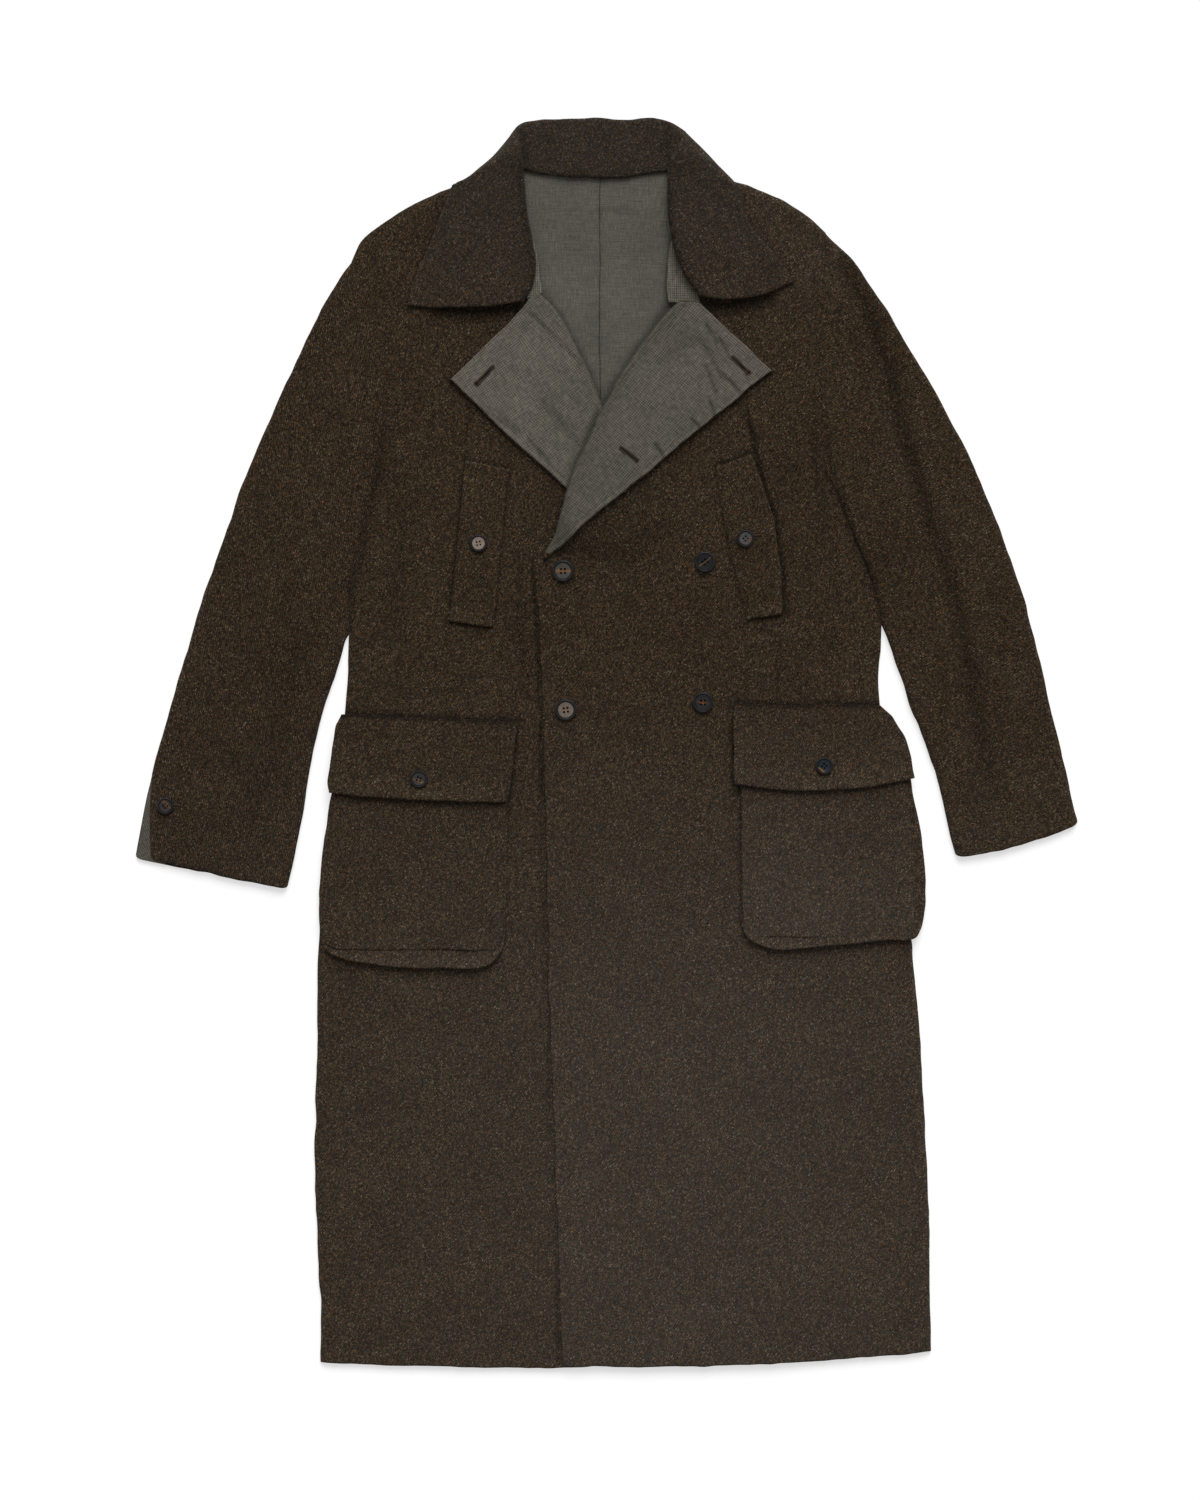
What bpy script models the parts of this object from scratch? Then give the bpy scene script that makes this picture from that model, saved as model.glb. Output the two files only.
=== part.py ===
"""Long double-breasted overcoat in wool tweed, laid flat on its back with the left front over the right.

Sizes are millimetres on a laying table: across from its left edge, down from its top edge, height above it.
Left and right are the wearer's, so the right half of the coat lies at the table's left.
"""
import math

import bmesh
import bpy
from mathutils import Vector

MILLIMETRE = 0.001
MIDDLE_ACROSS = 607
MIDDLE_DOWN = 743

# Cloth walls and the air between them
TWEED = 2.0
FACING = 1.0
LINING = 1.0
COLLAR = 3.0
SEAM = 0.3
AIR = 0.6
FACING_AIR = 0.8
MERGE = 0.02

# Height of each cloth's upper face where it lies flat
BACK_TOP = 2.0
LINING_TOP = 3.8
EDGE_LOW = 2.8
RIGHT_TOP = 6.4
LEFT_TOP_SINGLE = 7.0
LEFT_TOP_OVER = 8.9

# Rounded edge of a panel: distance in from the edge, share of the panel's height
ROUND_EDGE = [(0.0, 0.0), (0.1, 0.2), (2.0, 0.66), (5.0, 0.92), (8.0, 1.0)]
PLAIN_EDGE = [0.0, 1.0, 3.0, 6.0, 10.0]

# Rows across the chest, as shares of the armhole's length from underarm to shoulder
CHEST_SHARES = [0.12, 0.22, 0.32, 0.41, 0.50, 0.58, 0.66, 0.74, 0.80, 0.87, 0.93]
FLAT_SHARES = [0.0, *CHEST_SHARES, 1.0]
ARMHOLE_LENGTH = 385

# Armholes: share from underarm to shoulder, across, down
ARMHOLE_RIGHT = [
    (0.0, 349, 634), (0.1, 350, 598), (0.25, 361, 540), (0.4, 376, 487),
    (0.55, 383, 434), (0.7, 381, 377), (0.85, 369, 320), (1.0, 351, 262),
]
ARMHOLE_LEFT = [
    (0.0, 881, 624), (0.1, 875, 592), (0.22, 854, 540), (0.36, 834, 486),
    (0.5, 824, 432), (0.66, 820, 365), (0.83, 822, 298), (1.0, 826, 233),
]

# Side seams below the underarm: share up from the hem, across, down
SIDE_RIGHT = [
    (0.0, 321, 1361), (0.1, 320, 1288), (0.2, 317, 1215), (0.3, 315, 1142), (0.42, 317, 1055),
    (0.55, 318, 960), (0.66, 324, 880), (0.78, 334, 795), (0.9, 346, 706), (1.0, 349, 634),
]
SIDE_LEFT = [
    (0.0, 931, 1351), (0.1, 930, 1278), (0.2, 928, 1206), (0.3, 925, 1133), (0.42, 920, 1046),
    (0.55, 912, 951), (0.66, 903, 871), (0.78, 892, 784), (0.9, 879, 697), (1.0, 881, 624),
]

# Front edges below the underarm: share up from the hem, across, down
EDGE_RIGHT = [(0.0, 750, 1358), (0.4, 742, 1070), (0.8, 731, 773), (1.0, 724, 625)]
EDGE_LEFT = [(0.0, 562, 1365), (0.25, 556, 1178), (0.5, 549, 992), (0.75, 545, 805), (1.0, 539, 618)]
SKIRT_SHARES = [0.0, 0.1, 0.22, 0.34, 0.46, 0.56, 0.66, 0.76, 0.84, 0.92, 0.97]
HEM_SAG_RIGHT = 7.5
HEM_SAG_LEFT = 6.0
HEM_SAG_SHARE = 0.1
FRONT_COLUMNS_RIGHT = 8
FRONT_COLUMNS_LEFT = 10

# Front edges above the underarm up the roll line and neck seam: share of the armhole, across, down
ROLL_RIGHT = [
    (0.0, 724, 625), (0.12, 684, 562), (0.22, 640, 512), (0.32, 626, 472), (0.41, 613, 434),
    (0.50, 602, 406), (0.58, 591, 378), (0.66, 577, 347), (0.74, 563, 313), (0.80, 549, 290),
    (0.83, 534, 277), (0.87, 523, 252), (0.93, 511, 215), (1.0, 500, 170),
]
ROLL_LEFT = [
    (0.0, 539, 618), (0.06, 537, 592), (0.12, 545, 561), (0.22, 561, 512), (0.32, 576, 466),
    (0.41, 590, 436), (0.50, 604, 408), (0.58, 618, 381), (0.66, 633, 356), (0.74, 654, 328),
    (0.80, 676, 303), (0.87, 691, 268), (0.93, 694, 222), (1.0, 697, 168),
]

# Lapel edges, from the break of the roll line to the collar: share of the armhole, across, down
LAPEL_RIGHT = [
    (0.22, 640, 512), (0.32, 598, 508), (0.41, 568, 492), (0.50, 529, 457),
    (0.58, 487, 418), (0.66, 450, 380), (0.74, 500, 332), (0.80, 527, 301),
]
LAPEL_LEFT = [
    (0.12, 545, 561), (0.22, 592, 521), (0.32, 632, 488), (0.41, 668, 458), (0.50, 703, 428),
    (0.58, 738, 399), (0.66, 772, 371), (0.74, 738, 339), (0.80, 701, 304),
]
BREAK_RIGHT = 0.22
BREAK_LEFT = 0.12
GORGE = 0.80
ROLL_RADIUS = 0.8
ROLL_RAISE = 1.6
ROLL_RAISE_WIDTH = 40
LAPEL_REST = 0.8
LAPEL_SHARES = [0.12, 0.35, 0.6, 0.82, 1.0]
ROLL_ANGLES = [-30, 30, 90]
FACING_ANGLES = [90, 54, 18, -18, -54, -90]
FACING_STRIP = 12
FACING_INSET = 1.5

# The left front rises over the turned-back right lapel along this line
OVERLAP_TOP = Vector((590, 405))
OVERLAP_BOTTOM = Vector((605, 490))
OVERLAP_RISE = 7.5
OVERLAP_FULL = 44
OVERLAP_FADE = 36

# The left front sinks from the overlap to a single layer: across and down where it starts, and how far it takes
SINK_ACROSS = 830
SINK_WIDTH = 74
SINK_DOWN = 330
SINK_LENGTH = 90

# Shoulder line above the straight from armhole to neck: share, rise
SHOULDER_RIGHT = [
    (0.0, 0), (0.07, 14), (0.2, 19), (0.365, 19.5), (0.6, 13), (0.7, 11), (0.86, 5), (1.0, 0),
]
SHOULDER_LEFT = [
    (0.0, 0), (0.07, 4), (0.23, 9.4), (0.34, 11), (0.5, 9), (0.62, 7), (0.74, 4), (1.0, 0),
]
SHOULDER_START = 0.6

# Top edge of the back over both shoulders and the neck: across, down
BACK_EDGE = [
    (351, 262), (363, 240), (382, 224), (406, 208), (441, 192), (470, 182), (500, 171), (522, 174),
    (560, 178), (600, 180), (640, 177), (672, 172), (697, 169), (731, 183), (761, 191), (782, 200),
    (807, 217), (826, 233),
]

# The collar's leaf lies under the back at the neck and lifts all that lies there
NECK_LIFT = 3.4
NECK_ACROSS = 594
LIFT_HALF_WIDTH = 140
LIFT_FADE = 45
LIFT_DOWN = 207
LIFT_LENGTH = 55

# Back lining, in two halves with a seam at the middle of the back: share down, outer across, outer down,
# middle across, middle down
LINING_RIGHT = [
    (0.0, 512, 186, 600, 178), (0.12, 480, 212, 600, 207), (0.25, 436, 250, 600, 235),
    (0.38, 420, 290, 600, 264), (0.7, 416, 410, 600, 400), (1.0, 416, 540, 600, 540),
]
LINING_LEFT = [
    (0.0, 687, 184, 600, 178), (0.12, 716, 212, 600, 207), (0.25, 756, 250, 600, 235),
    (0.38, 772, 290, 600, 264), (0.7, 778, 410, 600, 400), (1.0, 778, 540, 600, 540),
]
LINING_SHARES = [0.0, 0.06, 0.12, 0.25, 0.38, 0.7, 1.0]
LINING_PARTS = [0.0, 0.3, 0.6, 0.8, 1.0]

# Sleeves: share from armhole to cuff, outer across, outer down, inner across, inner down
SLEEVE_RIGHT = [
    (0.0, 351, 262, 349, 634), (0.1, 326, 302, 345, 641), (0.2, 298, 358, 341, 655),
    (0.3, 273, 414, 336, 672), (0.4, 249, 470, 330, 690), (0.5, 227, 529, 324, 709),
    (0.6, 206, 588, 318, 730), (0.7, 189, 644, 313, 755), (0.8, 170, 710, 307, 790),
    (0.9, 152, 776, 299, 832), (1.0, 136, 858, 287, 890),
]
SLEEVE_LEFT = [
    (0.0, 826, 233, 881, 624), (0.1, 858, 268, 885, 634), (0.2, 888, 314, 891, 650),
    (0.3, 917, 362, 897, 668), (0.4, 945, 411, 904, 686), (0.5, 971, 460, 911, 706),
    (0.6, 993, 512, 919, 727), (0.7, 1012, 562, 928, 750), (0.8, 1033, 635, 938, 780),
    (0.9, 1056, 733, 947, 820), (1.0, 1078, 825, 955, 858),
]
SLEEVE_SHARES = [0.0, 0.05, 0.12, 0.2, 0.3, 0.4, 0.5, 0.6, 0.7, 0.8, 0.87, 0.93, 1.0]
UNDER_SHARES = [0.0, 0.1, 0.2, 0.3, 0.4, 0.5, 0.6, 0.7, 0.8, 0.9, 1.0]
SLEEVE_TOP = 7.2
ARMHOLE_FADE = 0.5
SEAM_FADE = 0.125
CROWN_FADE = 0.25
CORNER_SEAM = 1.0
CUFF_SAG_RIGHT = 0.0
CUFF_SAG_LEFT = 4.5
CUFF_SAG_POWER = 4

# Soft folds on the sleeves: share along at its start, share across there, share along at its end,
# share across there, depth, half width as a share across
FOLDS_RIGHT = [
    (0.06, 0.62, 0.34, 0.84, 1.1, 0.10),
    (0.12, 0.10, 0.42, 0.34, 1.0, 0.12),
    (0.66, 0.30, 0.90, 0.52, 0.8, 0.14),
]
FOLDS_LEFT = [
    (0.02, 0.80, 0.40, 0.62, 1.4, 0.09),
    (0.38, 0.62, 0.78, 0.42, 1.2, 0.10),
    (0.10, 0.14, 0.36, 0.34, 1.0, 0.12),
]

FOLD_SHARPNESS = 2

# Open vent of the right cuff: where it starts along the sleeve, how far the upper cloth draws back
VENT_START = 0.9
VENT_LEAD = 0.05
VENT_DRAW = 15
VENT_RAISE = 1.4
VENT_FACING_WIDTH = 30
VENT_FACING_SHARES = [0.9, 0.93, 0.96, 1.0]
VENT_FACING_PARTS = [0.02, 0.35, 0.7, 1.0]

# Collar, from the right gorge round the back of the neck to the left gorge.
# Neck seam across, down; roll across, down, height, radius; turn of the leaf about the roll in degrees;
# leaf edge across, down; what the neck seam and the leaf edge rest on: 0 the fronts, 1 the back or the table
COLLAR_STATIONS = [
    (517, 300, 519.5, 302, 13.4, 1.8, 90, 408, 306, 0.0, 0.0),
    (519, 284, 530, 284, 13.6, 2.0, 90, 415, 281, 0.0, 0.0),
    (519, 262, 532.5, 262, 13.6, 2.2, 90, 425, 257, 0.0, 0.0),
    (515, 240, 528, 237, 13.6, 2.2, 90, 434, 234, 0.0, 0.0),
    (509, 215, 524, 212, 14.2, 2.0, 90, 441, 213, 0.0, 0.0),
    (504, 192, 522, 187, 14.4, 2.0, 90, 448, 197, 0.0, 0.0),
    (500, 176, 520, 163, 14.4, 2.0, 90, 452, 188, 0.0, 0.0),
    (498, 169, 518, 149, 13.8, 2.4, 55, 453, 184, 0.2, 0.0),
    (497, 164, 517.5, 140, 10.2, 3.0, 0, 452, 181, 0.5, 0.5),
    (502, 164, 520, 129, 5.6, 3.2, -55, 455, 181, 0.8, 1.0),
    (514, 168, 533, 125, 4.9, 3.2, -90, 498, 196, 1.0, 1.0),
    (540, 175, 556, 124, 4.9, 3.2, -90, 540, 201, 1.0, 1.0),
    (569, 178, 578, 124, 4.9, 3.2, -90, 570, 203, 1.0, 1.0),
    (600, 180, 600, 124, 4.9, 3.2, -90, 600, 203, 1.0, 1.0),
    (632, 178, 622, 124, 4.9, 3.2, -90, 630, 203, 1.0, 1.0),
    (660, 174, 643, 124, 4.9, 3.2, -90, 660, 201, 1.0, 1.0),
    (683, 169, 664, 125, 4.9, 3.2, -90, 692, 196, 1.0, 1.0),
    (694, 165, 678, 131, 5.6, 3.2, -55, 734, 179, 0.8, 1.0),
    (699, 165, 684, 140, 10.2, 3.0, 0, 738, 178, 0.5, 0.5),
    (698, 170, 681, 151, 14.4, 2.4, 55, 736, 183, 0.2, 0.0),
    (696, 177, 673, 167, 15.0, 2.0, 90, 737, 190, 0.0, 0.0),
    (694, 193, 671, 189, 15.0, 2.0, 90, 742, 206, 0.0, 0.0),
    (693, 215, 671, 214, 15.0, 2.0, 90, 749, 222, 0.0, 0.0),
    (692, 240, 675.5, 241, 14.6, 2.2, 90, 758, 235, 0.0, 0.0),
    (693, 262, 682, 262, 14.4, 2.2, 90, 768, 248, 0.0, 0.0),
    (698, 281, 690.5, 281, 14.2, 2.0, 90, 780, 263, 0.0, 0.0),
    (704, 297, 702, 298.5, 14.0, 1.8, 90, 794, 282, 0.0, 0.0),
]
STAND_SHARES = [0.0, 0.4, 0.8]
LEAF_SHARES = [0.15, 0.38, 0.62, 0.84, 1.0]
FOLD_ANGLES = [0, 45, 90, 135, 180]
WRAP_OUTWARD = 0.72
LEAF_UNDER = 1.65
LEAF_END_SAG_RIGHT = 5
LEAF_END_SAG_LEFT = 9

# Chest welts: rows from bottom to top with left across, left down, right across, right down
WELT_COLUMNS = 3
WELT_RIGHT = [
    (450, 622, 494, 628), (455, 570, 499, 578), (460, 515, 504, 524), (465, 461, 509, 470),
]
WELT_LEFT = [
    (747, 621, 782, 614), (735, 575, 780, 565), (724, 520, 772, 518), (715, 468, 751, 455),
]

# Bellows pockets: front from bottom to mouth, then the gusset round it from one top corner to the other
POCKET_RIGHT = [
    (342, 949, 492, 950), (328, 944, 500, 943), (321, 930, 505, 925), (320, 900, 506, 895),
    (322, 858, 506, 856), (329, 817, 507, 816), (333, 775, 510, 785), (337, 734, 515, 745),
]
POCKET_LEFT = [
    (757, 937, 908, 936), (746, 932, 912, 930), (742, 918, 913, 915), (741, 888, 912, 884),
    (741, 848, 911, 848), (741, 812, 910, 812), (740, 768, 903, 768), (739, 726, 893, 724),
]
GUSSET_RIGHT = [
    (333, 790), (326, 830), (321, 870), (320, 920), (324, 946), (342, 957), (370, 963), (404, 967),
    (459, 968), (484, 966), (497, 957), (504, 940), (506, 900), (507, 850), (508, 800),
]
GUSSET_LEFT = [
    (740, 785), (740, 830), (740, 880), (741, 922), (748, 938), (760, 945), (776, 949), (803, 948),
    (840, 944), (879, 941), (910, 938), (919, 930), (924, 910), (925, 879), (922, 843), (917, 813), (911, 786),
]
GUSSET_DEPTH = 0.2
GUSSET_LAYS = [0.0, 0.5, 1.0]
POCKET_COLUMNS = 6

# Pocket flaps from bottom to the sewn edge: left across, left down, right across, right down, share of the height
FLAP_RIGHT = [
    (330, 793, 510, 805, 1.0), (329, 780, 512, 791, 1.0), (332, 754, 515, 764, 1.0),
    (335, 729, 518, 739, 1.0), (336, 721, 519, 730, 0.5), (338, 714, 520, 721, 0.0),
]
FLAP_LEFT = [
    (734, 785, 913, 778, 1.0), (733, 770, 911, 765, 1.0), (733, 744, 906, 742, 1.0),
    (733, 719, 894, 720, 1.0), (733, 711, 887, 712, 0.5), (734, 704, 880, 705, 0.0),
]
FLAP_SAG_RIGHT = 3.0
FLAP_SAG_LEFT = 8.5
FLAP_SAG_ROWS = 2

# Buttons: name, across, down, radius, what it is sewn to
BUTTONS = [
    ("button_front_right_upper", 562.4, 571.4, 10.5, "left"),
    ("button_front_right_lower", 566.4, 709.5, 10.5, "left"),
    ("button_front_left_upper", 704.4, 562.2, 10.2, "left"),
    ("button_front_left_lower", 702.0, 703.6, 10.2, "left"),
    ("button_chest_right", 479.3, 544.3, 8.3, "right_welt"),
    ("button_chest_left", 745.5, 539.6, 8.3, "left_welt"),
    ("button_flap_right", 419.0, 779.0, 8.8, "right_flap"),
    ("button_flap_left", 823.0, 766.0, 8.7, "left_flap"),
    ("button_cuff_right", 166.5, 806.0, 8.0, "sleeve"),
]
BUTTON_STEPS = 16
BUTTON_REST = 0.5
BUTTON_FOOT = 0.8
BUTTON_MERGE = 0.01
# Turned profile from the middle of the top to the middle of the foot: share of the radius, height
BUTTON_PROFILE = [
    (0.0, 2.1), (0.55, 2.1), (0.72, 3.1), (0.88, 3.1), (1.0, 2.2), (1.0, 1.3), (0.8, 0.0), (0.0, 0.0),
]

# Colour, roughness
LOOKS = {
    "wool_tweed": ((0.040, 0.030, 0.022, 1.0), 0.95),
    "cotton_facing": ((0.095, 0.085, 0.070, 1.0), 0.85),
    "cotton_lining": ((0.088, 0.080, 0.068, 1.0), 0.8),
    "horn": ((0.030, 0.020, 0.014, 1.0), 0.35),
}


# Small tools for sizes

def between(table, key):
    """Columns of a table at a key between its rows, on a smooth curve through them."""
    last = len(table) - 2
    key = min(max(key, table[0][0]), table[-1][0])
    at = 0
    while at < last and key > table[at + 1][0]:
        at += 1
    span = table[at + 1][0] - table[at][0]
    part = (key - table[at][0]) / span
    found = []
    for column in range(1, len(table[0])):
        start = table[at][column]
        end = table[at + 1][column]
        slope_start = (end - start) / span
        slope_end = slope_start
        if at > 0:
            slope_start = (end - table[at - 1][column]) / (table[at + 1][0] - table[at - 1][0])
        if at < last:
            slope_end = (table[at + 2][column] - start) / (table[at + 2][0] - table[at][0])
        square = part * part
        cube = square * part
        found.append(
            start * (2 * cube - 3 * square + 1)
            + end * (3 * square - 2 * cube)
            + span * slope_start * (cube - 2 * square + part)
            + span * slope_end * (cube - square)
        )
    return found[0] if len(found) == 1 else Vector(found)


def ease(part):
    """Soft step from 0 to 1."""
    part = min(max(part, 0.0), 1.0)
    return part * part * (3 - 2 * part)


def ramp(part):
    """Straight step from 0 to 1."""
    return min(max(part, 0.0), 1.0)


def bow(part):
    """Arch between two ends, 0 at both and 1 in the middle."""
    return 4 * part * (1 - part)


def distance_to(point, start, end):
    """Distance on the table from a point to the straight between two others."""
    along = end - start
    part = ramp((point - start).dot(along) / along.length_squared)
    return (point - start - along * part).length


def table_place(point):
    """From millimetres on the laying table to metres about the coat's middle."""
    across, down, height = point
    return Vector((across - MIDDLE_ACROSS, MIDDLE_DOWN - down, height)) * MILLIMETRE


# Heights of the cloth that other pieces lie on

def lift(point):
    """Rise at the neck over the collar's leaf."""
    beside = abs(point.x - NECK_ACROSS) - LIFT_HALF_WIDTH
    below = point.y - LIFT_DOWN
    return NECK_LIFT * (1 - ramp(beside / LIFT_FADE)) * (1 - ramp(below / LIFT_LENGTH))


def roll_raise(point, roll, first):
    """Soft rise of a front towards its roll line."""
    line = [Vector(row[1:]) for row in roll if first < row[0] <= GORGE]
    nearest = min(distance_to(point, line[i], line[i + 1]) for i in range(len(line) - 1))
    return ROLL_RAISE * (1 - ease(nearest / ROLL_RAISE_WIDTH))


def right_top(point):
    """Upper face of the right front."""
    return RIGHT_TOP + lift(point) + roll_raise(point, ROLL_RIGHT, BREAK_RIGHT)


def left_top(point):
    """Upper face of the left front."""
    over = ease((SINK_ACROSS - point.x) / SINK_WIDTH) * ease((point.y - SINK_DOWN) / SINK_LENGTH)
    flat = LEFT_TOP_SINGLE + (LEFT_TOP_OVER - LEFT_TOP_SINGLE) * over
    beyond = distance_to(point, OVERLAP_TOP, OVERLAP_BOTTOM) - OVERLAP_FULL
    rise = OVERLAP_RISE * (1 - ease(beyond / OVERLAP_FADE))
    return flat + rise + lift(point) + roll_raise(point, ROLL_LEFT, BREAK_LEFT)


# Pieces

def look(name):
    """Plain material of a cloth or of the buttons."""
    if name in bpy.data.materials:
        return bpy.data.materials[name]
    colour, roughness = LOOKS[name]
    material = bpy.data.materials.new(name)
    material.use_nodes = True
    shader = material.node_tree.nodes["Principled BSDF"]
    shader.inputs["Base Color"].default_value = colour
    shader.inputs["Roughness"].default_value = roughness
    shader.inputs["Metallic"].default_value = 0.0
    return material


def sew(name, rows, wall, material, side=-1.0):
    """A sheet of cloth through rows of points, with its wall behind the face that looks up."""
    columns = len(rows[0])
    sheet = bmesh.new()
    bmesh.ops.create_grid(sheet, x_segments=columns - 1, y_segments=len(rows) - 1, size=0.5)
    for vertex in sheet.verts:
        column = round((vertex.co.x + 0.5) * (columns - 1))
        row = round((vertex.co.y + 0.5) * (len(rows) - 1))
        vertex.co = table_place(rows[row][column])
    bmesh.ops.remove_doubles(sheet, verts=sheet.verts, dist=MERGE * MILLIMETRE)
    sheet.normal_update()
    if sum(face.normal.z * face.calc_area() for face in sheet.faces) < 0:
        bmesh.ops.reverse_faces(sheet, faces=sheet.faces)
    bmesh.ops.triangulate(sheet, faces=sheet.faces)
    mesh = bpy.data.meshes.new(name)
    sheet.to_mesh(mesh)
    sheet.free()
    mesh.materials.append(look(material))
    piece = bpy.data.objects.new(name, mesh)
    coat.objects.link(piece)
    thick = piece.modifiers.new("wall", "SOLIDIFY")
    thick.thickness = wall * MILLIMETRE
    thick.offset = side
    return piece


def chest_shares():
    """Shares of the armhole at each row of the chest, close together at both ends, with the edge's height."""
    near = [(inward / ARMHOLE_LENGTH, height) for inward, height in ROUND_EDGE]
    middle = [(share, 1.0) for share in CHEST_SHARES]
    far = [(1 - share, height) for share, height in reversed(near)]
    return near + middle + far


def shoulder_rise(share):
    """How far a row of the chest has taken on the shoulder's curve."""
    end = 1 - ROUND_EDGE[-1][0] / ARMHOLE_LENGTH
    return ease((share - SHOULDER_START) / (end - SHOULDER_START))


def front(name, side, armhole, skirt_edge, roll, lapel, shoulder, sag, first, top, columns):
    """One front with its lapel turned back: rows from hem to shoulder, columns from side to lapel edge."""
    rows = []
    stops = [("skirt", share, 0.0, 1.0) for share in SKIRT_SHARES]
    shares = chest_shares()
    for number, (share, height) in enumerate(shares):
        low_half = number < len(shares) / 2
        stops.append(("chest", share, height if low_half else 1.0, 1.0 if low_half else height))
    for place, share, at_side, at_shoulder in stops:
        if place == "skirt":
            start = between(side, share)
            end = between(skirt_edge, share)
            drop = sag * (1 - ease(share / HEM_SAG_SHARE))
            rise = 0.0
        else:
            start = between(armhole, share)
            end = between(roll, share)
            drop = 0.0
            rise = shoulder_rise(share)
        width = (end - start).length
        parts = []
        for (inward, height), plain in zip(ROUND_EDGE, PLAIN_EDGE):
            inset = inward + (plain - inward) * at_side
            parts.append((inset / width, 1 - (1 - height) * (1 - at_side)))
        first_part = parts[-1][0]
        for column in range(1, columns + 1):
            parts.append((first_part + (1 - first_part) * column / columns, 1.0))
        row = []
        for part, height in parts:
            point = start + (end - start) * part
            point.y += drop * bow(part) - rise * between(shoulder, part)
            floor = EDGE_LOW + lift(point)
            row.append((*point, floor + (top(point) - floor) * height * at_shoulder))
        if place == "chest" and first <= share <= GORGE:
            row += turned_back(row[-1], end, between(lapel, share), top)
        else:
            row += [row[-1]] * (len(ROLL_ANGLES) + len(LAPEL_SHARES))
        rows.append(row)
    return sew(name, rows, TWEED, "wool_tweed")


def turned_back(edge_point, roll_point, lapel_point, top):
    """Columns of a lapel's outer face, round the roll and back over the front."""
    span = lapel_point - roll_point
    if span.length < 1:
        return [edge_point] * (len(ROLL_ANGLES) + len(LAPEL_SHARES))
    outward = -span.normalized()
    centre = top(roll_point) + ROLL_RADIUS
    row = []
    for angle in ROLL_ANGLES:
        turn = math.radians(angle)
        point = roll_point + outward * ROLL_RADIUS * math.cos(turn)
        row.append((*point, centre + ROLL_RADIUS * math.sin(turn)))
    for part in LAPEL_SHARES:
        point = roll_point + span * part
        row.append((*point, lapel_under(point, part, top)))
    return row


def lapel_under(point, part, top):
    """Height of a lapel's under side, settling from the roll to its edge."""
    return top(point) + 2 * ROLL_RADIUS + (LAPEL_REST - 2 * ROLL_RADIUS) * ease(part)


def facing(name, roll, lapel, first, top):
    """Facing that covers a lapel, turns round the roll and ends inside the front."""
    outside = TWEED + FACING_AIR + FACING
    radius = ROLL_RADIUS + outside
    rows = []
    for share in CHEST_SHARES:
        if not first < share <= GORGE:
            continue
        roll_point = between(roll, share)
        span = between(lapel, share) - roll_point
        outward = -span.normalized()
        reach = 1 - FACING_INSET / span.length
        centre = top(roll_point) + ROLL_RADIUS
        row = []
        for part in reversed(LAPEL_SHARES):
            point = roll_point + span * part * reach
            row.append((*point, lapel_under(point, part, top) + outside))
        for angle in FACING_ANGLES:
            turn = math.radians(angle)
            point = roll_point + outward * radius * math.cos(turn)
            row.append((*point, centre + radius * math.sin(turn)))
        point = roll_point - outward * FACING_STRIP
        row.append((*point, top(point) - outside))
        rows.append(row)
    return sew(name, rows, FACING, "cotton_facing")


def back():
    """Back panel, flat on the table and lifted at the neck."""
    wide_start = BACK_EDGE[0][0]
    wide = BACK_EDGE[-1][0] - wide_start
    rows = []
    for share in SKIRT_SHARES:
        start = between(SIDE_RIGHT, share)
        end = between(SIDE_LEFT, share)
        drop = HEM_SAG_LEFT * (1 - ease(share / HEM_SAG_SHARE))
        row = []
        for across, _ in BACK_EDGE:
            part = (across - wide_start) / wide
            point = start + (end - start) * part
            row.append((point.x, point.y + drop * bow(part), BACK_TOP))
        rows.append(row)
    for share in FLAT_SHARES:
        start = between(ARMHOLE_RIGHT, share)
        end = between(ARMHOLE_LEFT, share)
        rise = shoulder_rise(share)
        row = []
        for across, down in BACK_EDGE:
            part = (across - wide_start) / wide
            point = start + (end - start) * part
            straight = BACK_EDGE[0][1] + (BACK_EDGE[-1][1] - BACK_EDGE[0][1]) * part
            point.y += rise * (down - straight)
            row.append((*point, BACK_TOP + lift(point)))
        rows.append(row)
    return sew("back", rows, TWEED, "wool_tweed")


def lining(name, table, seam_shift):
    """Half of the back lining, from the neck seam down inside the fronts."""
    rows = []
    for share in LINING_SHARES:
        outer_across, outer_down, middle_across, middle_down = between(table, share)
        outer = Vector((outer_across, outer_down))
        middle = Vector((middle_across + seam_shift, middle_down))
        row = []
        for part in LINING_PARTS:
            point = outer + (middle - outer) * part
            row.append((*point, LINING_TOP + lift(point)))
        rows.append(row)
    return sew(name, rows, LINING, "cotton_lining")


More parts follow.
